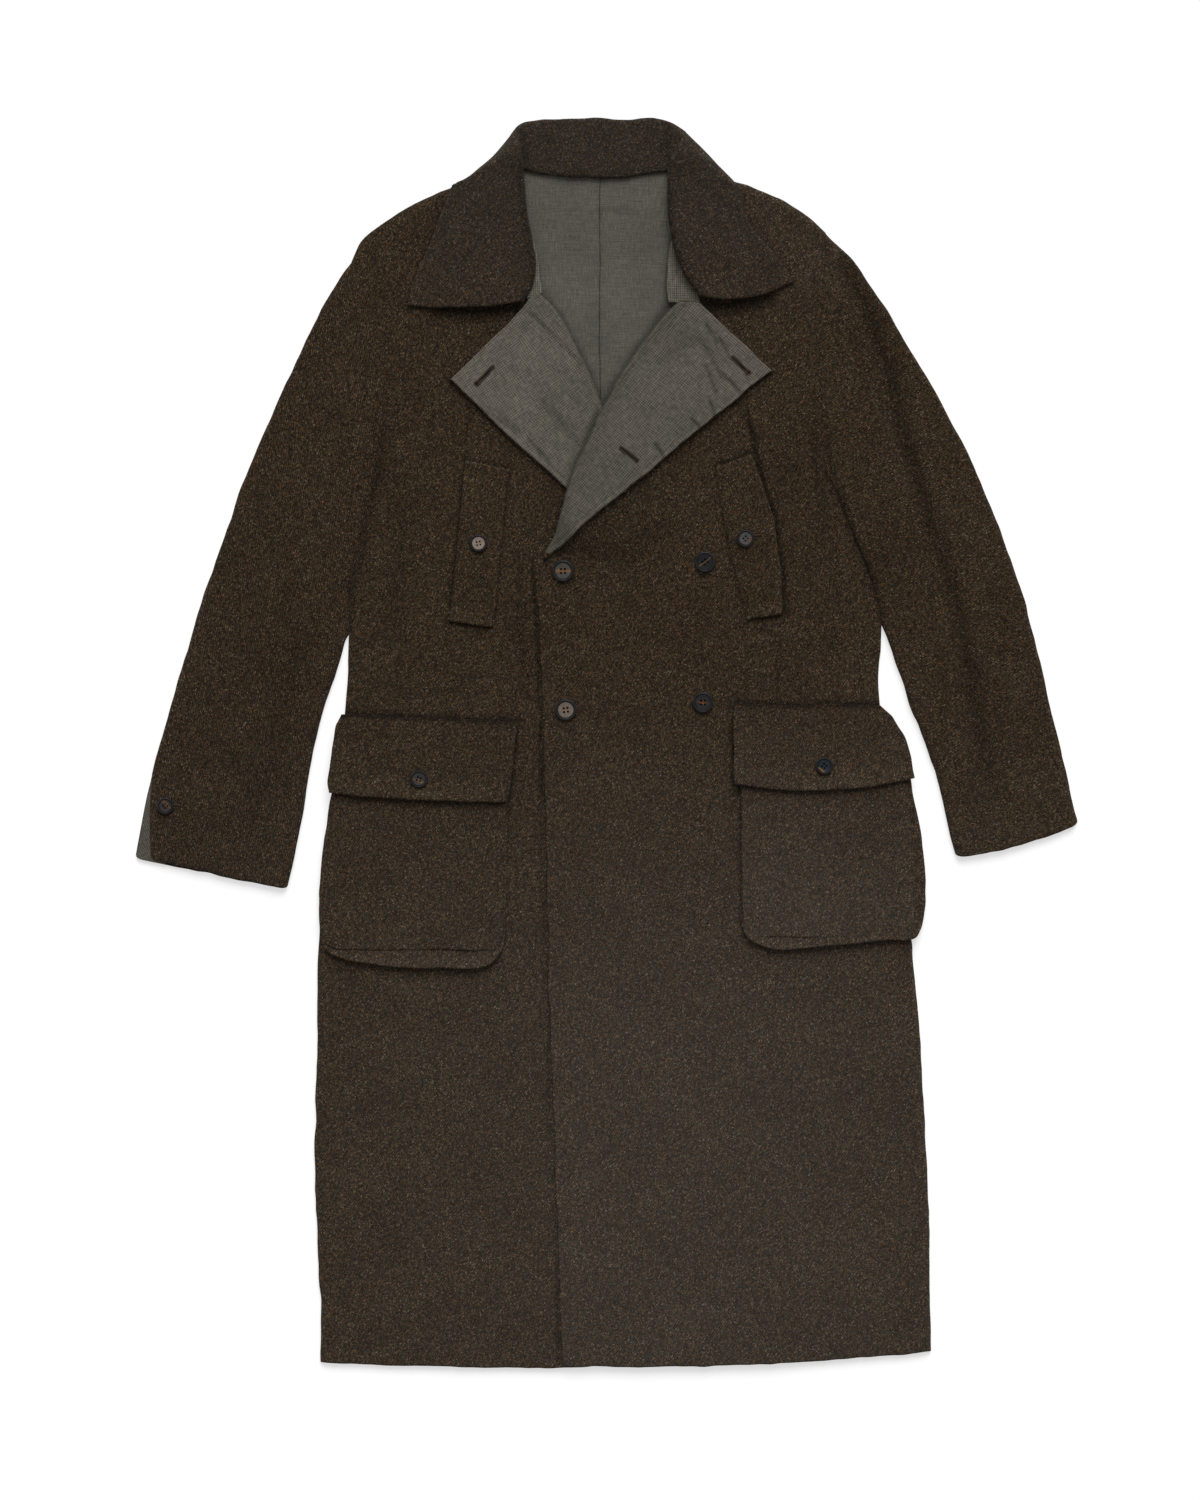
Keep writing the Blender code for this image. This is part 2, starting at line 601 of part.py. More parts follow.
def sleeve_ring(table, armhole, share, seam, sag, rounded=True):
    """Points of a sleeve on the table across its length at a share, from the inner edge to the outer."""
    outer_across, outer_down, inner_across, inner_down = between(table, share)
    inner = Vector((inner_across, inner_down))
    outer = Vector((outer_across, outer_down))
    fade = max(0.0, 1 - share / ARMHOLE_FADE) ** 2
    width = ARMHOLE_LENGTH * fade + (outer - inner).length * (1 - fade)
    near = [(inward / width, height) for inward, height in ROUND_EDGE]
    parts = near + [(part, 1.0) for part in CHEST_SHARES]
    parts += [(1 - part, height) for part, height in reversed(near)]
    if not rounded:
        parts = [(part, 1.0) for part in FLAT_SHARES]
    hole_inner = Vector(armhole[0][1:])
    hole_outer = Vector(armhole[-1][1:])
    ring = []
    for part, height in parts:
        point = inner + (outer - inner) * part
        curve = between(armhole, part) - (hole_inner + (hole_outer - hole_inner) * part)
        point += curve * fade
        corner = CORNER_SEAM / SEAM * (1 - height) if part > 0.5 else 0.0
        point.x += seam * (1 + corner) * (1 - ramp(share / SEAM_FADE))
        point.y += sag * bow(part) * share ** CUFF_SAG_POWER
        ring.append((point, part, height))
    return ring


def sleeve_fold(folds, share, part):
    """Depth of the soft folds at a place on a sleeve."""
    depth = 0.0
    for from_along, from_across, to_along, to_across, deep, half in folds:
        along = (share - from_along) / (to_along - from_along)
        if 0 < along < 1:
            line = from_across + (to_across - from_across) * along
            aside = (part - line) / half
            depth += deep * math.sin(math.pi * along) * math.exp(-FOLD_SHARPNESS * aside * aside)
    return depth


def sleeve(name, table, armhole, body_top, seam, sag, folds, vent):
    """Upper cloth of a sleeve, rounded down to the under sleeve at both edges."""
    rows = []
    for share in reversed(SLEEVE_SHARES):
        crown = SLEEVE_TOP + (body_top - SLEEVE_TOP) * (1 - ease(share / CROWN_FADE))
        opened = math.sqrt(ease((share - VENT_START) / (1 - VENT_START))) if vent else 0.0
        raised = VENT_RAISE * ease((share - VENT_START + VENT_LEAD) / VENT_LEAD) if vent else 0.0
        low = EDGE_LOW + raised
        row = []
        for point, part, height in sleeve_ring(table, armhole, share, seam, sag):
            point.x += opened * VENT_DRAW * part
            row.append((*point, low + (crown - low) * height - sleeve_fold(folds, share, part)))
        rows.append(row)
    return sew(name, rows, TWEED, "wool_tweed")


def under_sleeve(name, table, armhole, seam, sag):
    """Under cloth of a sleeve, flat on the table."""
    rows = []
    for share in reversed(UNDER_SHARES):
        ring = sleeve_ring(table, armhole, share, seam, sag, rounded=False)
        rows.append([(*point, BACK_TOP) for point, _, _ in ring])
    return sew(name, rows, TWEED, "wool_tweed")


def cuff_facing():
    """Facing that shows in the open vent of the right cuff."""
    rows = []
    for share in reversed(VENT_FACING_SHARES):
        outer_across, outer_down, inner_across, inner_down = between(SLEEVE_RIGHT, share)
        outer = Vector((outer_across, outer_down))
        inward = (Vector((inner_across, inner_down)) - outer).normalized()
        row = []
        for part in VENT_FACING_PARTS:
            point = outer + inward * VENT_FACING_WIDTH * part
            row.append((*point, BACK_TOP + SEAM + FACING))
        rows.append(row)
    return sew("cuff_facing_right", rows, FACING, "cotton_facing")


def collar():
    """Collar in one piece: stand up from the neck seam, roll, and leaf down to its edge."""
    half = COLLAR / 2
    rows = []
    last = len(COLLAR_STATIONS) - 1
    for number, station in enumerate(COLLAR_STATIONS):
        neck_x, neck_y, roll_x, roll_y, roll_height, radius, turn, edge_x, edge_y, neck_back, edge_under = station
        neck = Vector((neck_x, neck_y))
        edge = Vector((edge_x, edge_y))
        roll = Vector((roll_x, roll_y))
        right_half = neck_x < NECK_ACROSS
        top = right_top if right_half else left_top
        neck_low = LINING_TOP + NECK_LIFT + SEAM + half
        neck_front = top(neck) + AIR + half
        neck_height = neck_front + (neck_low - neck_front) * neck_back
        edge_front = top(edge) + AIR + half
        edge_height = edge_front + (LEAF_UNDER - edge_front) * edge_under
        away = Vector((-WRAP_OUTWARD if right_half else WRAP_OUTWARD, -WRAP_OUTWARD, 0)).normalized()
        angle = math.radians(turn)
        leaf_side = away * math.cos(angle) + Vector((0, 0, math.sin(angle)))
        ahead = (roll - neck).normalized().to_3d()
        centre = Vector((roll.x, roll.y, roll_height))
        stand_end = centre - leaf_side * radius
        leaf_start = centre + leaf_side * radius
        foot = Vector((neck.x, neck.y, neck_height))
        tip = Vector((edge.x, edge.y, edge_height))
        end_sag = LEAF_END_SAG_RIGHT if number == 0 else LEAF_END_SAG_LEFT if number == last else 0
        row = [foot + (stand_end - foot) * part for part in STAND_SHARES]
        for fold in FOLD_ANGLES:
            bend = math.radians(fold)
            row.append(centre - leaf_side * radius * math.cos(bend) + ahead * radius * math.sin(bend))
        for part in LEAF_SHARES:
            point = leaf_start + (tip - leaf_start) * part
            point.y += end_sag * bow(part)
            row.append(point)
        rows.append([tuple(point) for point in row])
    return sew("collar", rows, COLLAR, "wool_tweed", side=0.0)


def laid_panel(name, rows, top, above, wall, columns, sag=0.0):
    """Panel laid on a front: rows of left and right ends, each point moved up from the front."""
    laid = []
    for number, (left_x, left_y, right_x, right_y, share) in enumerate(rows):
        start = Vector((left_x, left_y))
        end = Vector((right_x, right_y))
        dip = sag * (1 - ease(number / FLAP_SAG_ROWS))
        row = []
        for column in range(columns + 1):
            part = column / columns
            point = start + (end - start) * part
            point.y += dip * bow(part)
            height = top(point) + above[0] + (above[1] - above[0]) * share + wall
            row.append((*point, height))
        laid.append(row)
    return sew(name, laid, wall, "wool_tweed")


def pocket(suffix, front_rows, ring, flap_rows, top, flap_sag):
    """Bellows pocket: gusset on the front, pocket front over it, flap over both."""
    middle = Vector((sum(x for x, _ in ring), sum(y for _, y in ring))) / len(ring)
    rows = []
    for across, down in ring:
        outer = Vector((across, down))
        row = []
        for lay in GUSSET_LAYS:
            point = outer + (middle - outer) * GUSSET_DEPTH * lay
            row.append((*point, top(point) + SEAM + TWEED))
        rows.append(row)
    sew("pocket_gusset_" + suffix, rows, TWEED, "wool_tweed")
    over_gusset = SEAM + TWEED + SEAM
    over_front = over_gusset + TWEED + SEAM
    plain = [(*row, 0.0) for row in front_rows]
    laid_panel("pocket_front_" + suffix, plain, top, (over_gusset, over_gusset), TWEED, POCKET_COLUMNS)
    laid_panel("pocket_flap_" + suffix, flap_rows, top, (SEAM, over_front), TWEED, POCKET_COLUMNS, flap_sag)


def welt(suffix, welt_rows, top):
    """Slanting welt of a chest pocket."""
    plain = [(*row, 0.0) for row in welt_rows]
    laid_panel("chest_welt_" + suffix, plain, top, (SEAM, SEAM), TWEED, WELT_COLUMNS)


def seat_height(point, seat):
    """Height of the cloth under a button."""
    flap = SEAM + TWEED + SEAM + TWEED + SEAM + TWEED
    if seat == "left":
        return left_top(point)
    if seat == "right_welt":
        return right_top(point) + SEAM + TWEED
    if seat == "left_welt":
        return left_top(point) + SEAM + TWEED
    if seat == "right_flap":
        return right_top(point) + flap
    if seat == "left_flap":
        return left_top(point) + flap
    return SLEEVE_TOP


def button(name, across, down, radius, seat):
    """Turned button, tilted with the cloth that it lies on."""
    place = Vector((across, down))
    step = radius * BUTTON_FOOT
    rise_across = seat_height(place + Vector((step, 0)), seat) - seat_height(place - Vector((step, 0)), seat)
    rise_up = seat_height(place - Vector((0, step)), seat) - seat_height(place + Vector((0, step)), seat)
    mesh = bpy.data.meshes.new(name)
    profile = [(share * radius * MILLIMETRE, 0.0, height * MILLIMETRE) for share, height in BUTTON_PROFILE]
    lines = [(number, number + 1) for number in range(len(profile) - 1)]
    mesh.from_pydata(profile, lines, [])
    mesh.materials.append(look("horn"))
    piece = bpy.data.objects.new(name, mesh)
    coat.objects.link(piece)
    turned = piece.modifiers.new("turned", "SCREW")
    turned.steps = BUTTON_STEPS
    turned.render_steps = BUTTON_STEPS
    turned.use_merge_vertices = True
    turned.merge_threshold = BUTTON_MERGE * MILLIMETRE
    piece.location = table_place((across, down, seat_height(place, seat) + BUTTON_REST))
    normal = Vector((-rise_across / (2 * step), -rise_up / (2 * step), 1.0))
    piece.rotation_euler = normal.to_track_quat("Z", "Y").to_euler()
    return piece


for leftover in list(bpy.data.objects):
    bpy.data.objects.remove(leftover, do_unlink=True)
coat = bpy.data.collections.new("overcoat")
bpy.context.scene.collection.children.link(coat)

# Body
back()
lining("back_lining_right", LINING_RIGHT, -SEAM / 2)
lining("back_lining_left", LINING_LEFT, SEAM / 2)
front(
    "front_right", SIDE_RIGHT, ARMHOLE_RIGHT, EDGE_RIGHT, ROLL_RIGHT, LAPEL_RIGHT, SHOULDER_RIGHT,
    HEM_SAG_RIGHT, BREAK_RIGHT, right_top, FRONT_COLUMNS_RIGHT,
)
front(
    "front_left", SIDE_LEFT, ARMHOLE_LEFT, EDGE_LEFT, ROLL_LEFT, LAPEL_LEFT, SHOULDER_LEFT,
    HEM_SAG_LEFT, BREAK_LEFT, left_top, FRONT_COLUMNS_LEFT,
)
facing("facing_right", ROLL_RIGHT, LAPEL_RIGHT, BREAK_RIGHT, right_top)
facing("facing_left", ROLL_LEFT, LAPEL_LEFT, BREAK_LEFT, left_top)
collar()

# Sleeves
sleeve(
    "sleeve_upper_right", SLEEVE_RIGHT, ARMHOLE_RIGHT, RIGHT_TOP, -SEAM, CUFF_SAG_RIGHT, FOLDS_RIGHT, True,
)
sleeve(
    "sleeve_upper_left", SLEEVE_LEFT, ARMHOLE_LEFT, LEFT_TOP_SINGLE, SEAM, CUFF_SAG_LEFT, FOLDS_LEFT, False,
)
under_sleeve("sleeve_under_right", SLEEVE_RIGHT, ARMHOLE_RIGHT, -SEAM, CUFF_SAG_RIGHT)
under_sleeve("sleeve_under_left", SLEEVE_LEFT, ARMHOLE_LEFT, SEAM, CUFF_SAG_LEFT)
cuff_facing()

# Pockets and buttons
welt("right", WELT_RIGHT, right_top)
welt("left", WELT_LEFT, left_top)
pocket("right", POCKET_RIGHT, GUSSET_RIGHT, FLAP_RIGHT, right_top, FLAP_SAG_RIGHT)
pocket("left", POCKET_LEFT, GUSSET_LEFT, FLAP_LEFT, left_top, FLAP_SAG_LEFT)
for entry in BUTTONS:
    button(*entry)
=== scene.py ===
"""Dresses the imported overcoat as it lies: creased tweed, grey facings, horn buttons, sewing.

Sizes are millimetres on the laying table: across from its left edge, down from its top, height above it.
Left and right are the wearer's, so the right half of the coat lies at the table's left.
"""
import functools
import math

import bmesh
import bpy
import numpy as np
from mathutils import Matrix, Vector
from mathutils.bvhtree import BVHTree


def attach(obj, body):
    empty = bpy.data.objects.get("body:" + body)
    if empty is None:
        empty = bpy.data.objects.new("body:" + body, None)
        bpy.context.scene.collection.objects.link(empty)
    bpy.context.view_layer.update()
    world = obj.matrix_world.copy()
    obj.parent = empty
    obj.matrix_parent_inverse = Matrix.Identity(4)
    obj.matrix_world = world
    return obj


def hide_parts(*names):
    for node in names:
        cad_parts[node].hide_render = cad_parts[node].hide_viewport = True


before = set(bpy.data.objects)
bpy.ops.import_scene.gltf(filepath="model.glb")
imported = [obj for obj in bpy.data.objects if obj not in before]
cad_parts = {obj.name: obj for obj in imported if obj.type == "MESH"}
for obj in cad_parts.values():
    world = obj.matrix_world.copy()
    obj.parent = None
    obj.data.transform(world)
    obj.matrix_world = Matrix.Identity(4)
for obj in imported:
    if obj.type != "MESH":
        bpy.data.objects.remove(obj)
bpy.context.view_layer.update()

MILLIMETRE = 0.001
MIDDLE_ACROSS = 607
MIDDLE_DOWN = 743

# Cloth walls and the air between them
TWEED = 2.0
FACING = 1.0
LINING = 1.0
COLLAR = 3.0
SEAM = 0.3
AIR = 0.6
FACING_AIR = 0.8
MERGE = 0.02

# Height of each cloth's upper face where it lies flat
BACK_TOP = 2.0
LINING_TOP = 3.8
EDGE_LOW = 2.8
RIGHT_TOP = 6.4
LEFT_TOP_SINGLE = 7.0
LEFT_TOP_OVER = 8.9

# Fineness of the cloth: step of the grid, marks in from a free edge, marks in from a rounded edge
CLOTH_STEP = 3.8
TRIM_STEP = 2.4
HIDDEN_STEP = 9.0
FREE_MARKS = [0.0, 0.3, 0.8, 1.6, 2.8]
ROUND_MARKS = [0.0, 0.1, 0.5, 1.1, 2.0, 3.4, 5.4, 8.0]
ROUND_WIDTH = 8.0
FREE_ROUND = 1.7
FREE_THIN = 0.25
PANEL_SAMPLES = 600

# How far in from a free edge the cloth is rubbed
WORN_FRONT = 5
WORN_FACING = 7
WORN_CUFF = 6
WORN_COLLAR = 6
WORN_PANEL = 4

ARMHOLE_LENGTH = 385

# Armholes: share from underarm to shoulder, across, down
ARMHOLE_RIGHT = [
    (0.0, 349, 634), (0.1, 350, 598), (0.25, 361, 540), (0.4, 376, 487),
    (0.55, 383, 434), (0.7, 381, 377), (0.85, 369, 320), (1.0, 351, 262),
]
ARMHOLE_LEFT = [
    (0.0, 881, 624), (0.1, 875, 592), (0.22, 854, 540), (0.36, 834, 486),
    (0.5, 824, 432), (0.66, 820, 365), (0.83, 822, 298), (1.0, 826, 233),
]
# Dip of both cloths into the armhole seam: share from underarm to shoulder, depth
ARMHOLE_DIP = [(0.0, 3.0), (0.25, 2.8), (0.45, 1.8), (0.7, 0.6), (1.0, 0.5)]
DIP_WIDTH = 3.4

# Side seams below the underarm: share up from the hem, across, down
SIDE_RIGHT = [
    (0.0, 321, 1361), (0.1, 320, 1288), (0.2, 317, 1215), (0.3, 315, 1142), (0.42, 317, 1055),
    (0.55, 318, 960), (0.66, 324, 880), (0.78, 334, 795), (0.9, 346, 706), (1.0, 349, 634),
]
SIDE_LEFT = [
    (0.0, 931, 1351), (0.1, 930, 1278), (0.2, 928, 1206), (0.3, 925, 1133), (0.42, 920, 1046),
    (0.55, 912, 951), (0.66, 903, 871), (0.78, 892, 784), (0.9, 879, 697), (1.0, 881, 624),
]

# Front edges below the underarm: share up from the hem, across, down
EDGE_RIGHT = [(0.0, 750, 1358), (0.4, 742, 1070), (0.8, 731, 773), (1.0, 724, 625)]
EDGE_LEFT = [(0.0, 562, 1365), (0.25, 556, 1178), (0.5, 549, 992), (0.75, 545, 805), (1.0, 539, 618)]
SKIRT_LENGTH = 727
HEM_SAG_RIGHT = 7.5
HEM_SAG_LEFT = 6.0
HEM_SAG_SHARE = 0.1

# Front edges above the underarm up the roll line and neck seam: share of the armhole, across, down
ROLL_RIGHT = [
    (0.0, 724, 625), (0.12, 684, 562), (0.22, 640, 512), (0.32, 626, 472), (0.41, 613, 434),
    (0.50, 602, 406), (0.58, 591, 378), (0.66, 576, 347), (0.74, 559, 314), (0.80, 541, 292),
    (0.83, 533, 277), (0.87, 523, 252), (0.93, 511, 215), (1.0, 500, 170),
]
ROLL_LEFT = [
    (0.0, 539, 618), (0.06, 537, 592), (0.12, 545, 561), (0.22, 561, 512), (0.32, 576, 466),
    (0.41, 590, 436), (0.50, 604, 408), (0.58, 618, 381), (0.66, 633, 356), (0.74, 654, 328),
    (0.80, 676, 303), (0.87, 691, 268), (0.93, 694, 222), (1.0, 697, 168),
]

# Lapel edges, from the break of the roll line to the collar: share of the armhole, across, down
LAPEL_RIGHT = [
    (0.22, 640, 512), (0.32, 598, 508), (0.41, 568, 492), (0.50, 529, 457),
    (0.58, 487, 418), (0.66, 450, 380), (0.74, 500, 332), (0.80, 527, 301),
]
LAPEL_LEFT = [
    (0.12, 545, 561), (0.22, 592, 521), (0.32, 632, 488), (0.41, 668, 458), (0.50, 703, 428),
    (0.58, 738, 399), (0.66, 772, 371), (0.74, 738, 339), (0.80, 701, 304),
]
BREAK_RIGHT = 0.22
BREAK_LEFT = 0.12
GORGE = 0.80
LAPEL_TIP = 0.66
ROLL_RADIUS = 0.8
ROLL_RAISE = 1.6
ROLL_RAISE_WIDTH = 40
LAPEL_REST = 0.8
ROLL_SETBACK = 4.4
ROLL_SETBACK_REACH = 24
# Painted shade on each facing along its roll and round its turn
ROLL_SHADE_RIGHT = 0.5
ROLL_SHADE_LEFT = 0.9
ROLL_SHADE_REACH = 3.5
ROLL_SHADE_LEAST = 0.4
ROLL_SHADE_TURN = 60
ROLL_OPEN_LEAST = 0.4
ROLL_OPEN_LENGTH = 40
# Painted shade over the whole of each facing
FACING_SHADE_RIGHT = 0.0
FACING_SHADE_LEFT = 0.19
LAPEL_COLUMNS = 34
ROLL_ANGLES = range(-60, 91, 30)
FACING_ANGLES = range(75, -91, -15)
FACING_STRIP = 12
FACING_INSET = 1.5
FACING_START = 0.012
FACING_ROWS = 210
FACING_COLUMNS = 64
FACING_MARK_SHARE = 6
FACING_CREASE_REACH = 12
HEM_PLACE = 6.5
HEM_DEPTH = 0.4
HEM_HALF = 1.4
PUCKER_REACH = 9

# The left front rises over the turned-back right lapel along this line
OVERLAP_TOP = (590, 405)
OVERLAP_BOTTOM = (605, 490)
OVERLAP_RISE = 7.5
OVERLAP_FULL = 44
OVERLAP_FADE = 36

# The left front sinks from the overlap to a single layer: where it starts across and down, how far it goes
SINK_ACROSS = 830
SINK_WIDTH = 74
SINK_DOWN = 330
SINK_LENGTH = 90

# Shoulder line above the straight from armhole to neck: share, rise
SHOULDER_RIGHT = [
    (0.0, 0), (0.07, 14), (0.2, 19), (0.365, 19.5), (0.6, 13), (0.7, 11), (0.86, 5), (1.0, 0),
]
SHOULDER_LEFT = [
    (0.0, 0), (0.07, 4), (0.23, 9.4), (0.34, 11), (0.5, 9), (0.62, 7), (0.74, 4), (1.0, 0),
]
SHOULDER_START = 0.6

# Top edge of the back over both shoulders and the neck: across, down
BACK_EDGE = [
    (351, 262), (363, 240), (382, 224), (406, 208), (441, 192), (470, 182), (500, 171), (522, 174),
    (560, 178), (600, 180), (640, 177), (672, 172), (697, 169), (731, 183), (761, 191), (782, 200),
    (807, 217), (826, 233),
]

# The collar's leaf lies under the back at the neck and lifts all that lies there
NECK_LIFT = 3.4
NECK_ACROSS = 594
LIFT_HALF_WIDTH = 140
LIFT_FADE = 45
LIFT_DOWN = 207
LIFT_LENGTH = 55

# Back lining halves: share down, outer across, outer down, middle across, middle down
LINING_RIGHT = [
    (0.0, 512, 166, 600, 170), (0.12, 480, 206, 600, 203), (0.25, 436, 250, 600, 235),
    (0.38, 420, 290, 600, 264), (0.7, 416, 410, 600, 400), (1.0, 416, 540, 600, 540),
]
LINING_LEFT = [
    (0.0, 687, 164, 600, 170), (0.12, 716, 206, 600, 203), (0.25, 756, 250, 600, 235),
    (0.38, 772, 290, 600, 264), (0.7, 778, 410, 600, 400), (1.0, 778, 540, 600, 540),
]
LINING_LENGTH = 360
LINING_WIDTH = 180
LINING_DIP = 0.5
LINING_DIP_WIDTH = 1.5
LINING_SEAM = 0.4
LINING_SEAM_WIDTH = 0.9

# Sleeves: share from armhole to cuff, outer across, outer down, inner across, inner down
SLEEVE_RIGHT = [
    (0.0, 351, 262, 349, 634), (0.1, 326, 302, 345, 641), (0.2, 298, 358, 341, 655),
    (0.3, 273, 414, 336, 672), (0.4, 249, 470, 330, 690), (0.5, 227, 529, 324, 709),
    (0.6, 206, 588, 318, 730), (0.7, 189, 644, 313, 755), (0.8, 170, 710, 307, 790),
    (0.9, 152, 776, 299, 832), (1.0, 136, 858, 287, 890),
]
SLEEVE_LEFT = [
    (0.0, 826, 233, 881, 624), (0.1, 858, 268, 885, 634), (0.2, 888, 314, 891, 650),
    (0.3, 917, 362, 897, 668), (0.4, 945, 411, 904, 686), (0.5, 971, 460, 911, 706),
    (0.6, 993, 512, 919, 727), (0.7, 1012, 562, 928, 750), (0.8, 1033, 635, 938, 780),
    (0.9, 1056, 733, 947, 820), (1.0, 1078, 825, 955, 858),
]
SLEEVE_LENGTH = 590
SLEEVE_TOP = 7.2
ARMHOLE_FADE = 0.5
SEAM_FADE = 0.125
CROWN_FADE = 0.25
SLEEVE_TUCK = 0.5
CUFF_SAG_RIGHT = 0.0
CUFF_SAG_LEFT = 4.5
CUFF_SAG_POWER = 4
CUFF_CORNER = 4.0
CUFF_FADE = 12

# Soft folds on the sleeves: share along at its start, share across there, share along at its end,
# share across there, depth, half width as a share across
FOLDS_RIGHT = [
    (0.06, 0.62, 0.34, 0.84, 1.1, 0.10),
    (0.12, 0.10, 0.42, 0.34, 1.0, 0.12),
    (0.66, 0.30, 0.90, 0.52, 0.8, 0.14),
]
FOLDS_LEFT = [
    (0.02, 0.80, 0.40, 0.62, 1.4, 0.09),
    (0.38, 0.62, 0.78, 0.42, 1.2, 0.10),
    (0.10, 0.14, 0.36, 0.34, 1.0, 0.12),
]
FOLD_SHARPNESS = 2

# Open vent of the right cuff: where it starts along the sleeve, how far the upper cloth draws back
VENT_START = 0.9
VENT_LEAD = 0.05
VENT_DRAW = 15
VENT_RAISE = 1.4
VENT_FACING_WIDTH = 30
VENT_FACING_START = 0.02
VENT_FACING_LENGTH = 84
VENT_FACING_SLANT = 0.7
VENT_FACING_RISE = 0.3
VENT_FACING_RISE_WIDTH = 10
# Painted shade over the whole facing in the vent
CUFF_SHADE = 0.34

# Collar, from the right gorge round the back of the neck to the left gorge.
# Neck seam across, down; roll across, down, height, radius; turn of the leaf about the roll in degrees;
# leaf edge across, down; what the neck seam and the leaf edge rest on: 0 the fronts, 1 the back or table
COLLAR_STATIONS = [
    (517, 300, 519.5, 302, 13.4, 1.8, 90, 408, 306, 0.0, 0.0),
    (519, 284, 530, 284, 13.6, 2.0, 90, 415, 281, 0.0, 0.0),
    (519, 262, 532.5, 262, 13.6, 2.2, 90, 425, 257, 0.0, 0.0),
    (515, 240, 528, 237, 13.6, 2.2, 90, 434, 234, 0.0, 0.0),
    (509, 215, 524, 212, 14.2, 2.0, 90, 441, 213, 0.0, 0.0),
    (504, 192, 522, 187, 14.4, 2.0, 90, 448, 197, 0.0, 0.0),
    (500, 176, 520, 163, 14.4, 2.0, 90, 452, 188, 0.0, 0.0),
    (498, 169, 518, 150, 13.8, 2.4, 55, 455, 188, 0.2, 0.0),
    (497, 164, 517.5, 141, 10.2, 3.0, 0, 459, 185, 0.5, 0.5),
    (502, 164, 521, 130, 5.6, 3.2, -55, 463, 186, 0.8, 1.0),
    (514, 168, 533, 125, 4.9, 3.2, -90, 498, 196, 1.0, 1.0),
    (540, 175, 556, 124, 4.9, 3.2, -90, 540, 201, 1.0, 1.0),
    (569, 178, 578, 124, 4.9, 3.2, -90, 570, 203, 1.0, 1.0),
    (600, 180, 600, 124, 4.9, 3.2, -90, 600, 203, 1.0, 1.0),
    (632, 178, 622, 124, 4.9, 3.2, -90, 630, 203, 1.0, 1.0),
    (660, 174, 643, 124, 4.9, 3.2, -90, 660, 201, 1.0, 1.0),
    (683, 169, 664, 125, 4.9, 3.2, -90, 692, 196, 1.0, 1.0),
    (694, 165, 678, 131, 5.6, 3.2, -55, 729, 185, 0.8, 1.0),
    (699, 165, 684, 140, 10.2, 3.0, 0, 733, 183, 0.5, 0.5),
    (698, 170, 681, 151, 14.4, 2.4, 55, 735, 187, 0.2, 0.0),
    (696, 177, 673, 167, 15.0, 2.0, 90, 737, 190, 0.0, 0.0),
    (694, 193, 671, 189, 15.0, 2.0, 90, 742, 206, 0.0, 0.0),
    (693, 215, 671, 214, 15.0, 2.0, 90, 749, 222, 0.0, 0.0),
    (692, 240, 675.5, 241, 14.6, 2.2, 90, 758, 235, 0.0, 0.0),
    (693, 262, 682, 262, 14.4, 2.2, 90, 768, 248, 0.0, 0.0),
    (698, 281, 690.5, 281, 14.2, 2.0, 90, 780, 263, 0.0, 0.0),
    (704, 297, 702, 298.5, 14.0, 1.8, 90, 794, 282, 0.0, 0.0),
]
# Columns where the roll, its height and radius, the turn, the leaf edge and what they rest on start
COLLAR_COLUMNS = [2, 4, 6, 7, 9]
STAND_COLUMNS = 18
LEAF_COLUMNS = 34
FOLD_COLUMNS = 14
COLLAR_ROWS = 210
STATION_LENGTH = 20
LEAF_UNDER = 1.65
LEAF_END_SAG_RIGHT = 5
LEAF_END_SAG_LEFT = 9
LEAF_SIDE_SAG = 4
LEAF_SIDE_STATION = 8.5
LEAF_SIDE_REACH = 1.2
COLLAR_SOFT_LEAST = 0.3
COLLAR_SOFT_REACH = 6
# Greying of the collar by more of the painted haze: least share at its ends, more at its top, shade
# likewise, where it ends, length
COLLAR_HAZE = (0.35, 0.5)
COLLAR_SHADE = (0.16, 0.25)
COLLAR_GREY_DOWN = 305
COLLAR_GREY_LENGTH = 120

# Narrow facing inside the neck, from the gorge upwards: left across, left down, right across, right down
NECK_STRIP_RIGHT = [
    (527, 300, 543, 294), (526, 286, 541, 283), (524, 272, 540, 270), (522, 258, 538, 256),
    (520, 244, 534, 242),
]
NECK_STRIP_LEFT = [
    (668, 304, 700, 304), (667, 290, 696, 290), (667, 275, 692, 275), (668, 260, 688, 258),
    (671, 242, 684, 240),
]
NECK_STRIP_LIP = 2.2
NECK_STRIP_LIP_WIDTH = 6
NECK_STRIP_RISE = 3.6
NECK_STRIP_RISE_LENGTH = 34

# Chest welts: rows from bottom to top with left across, left down, right across, right down
WELT_RIGHT = [
    (450, 622, 494, 628), (455, 570, 499, 578), (460, 515, 504, 524), (465, 461, 509, 470),
]
WELT_LEFT = [
    (747, 621, 782, 614), (735, 575, 780, 565), (724, 520, 772, 518), (715, 468, 751, 455),
]
WELT_LIP = 2.0
WELT_LIP_LENGTH = 14
WELT_SEWN = 1.7
SEWN_REACH = 14
LIP_END = 0.15
PANEL_SOFT_REACH = 6

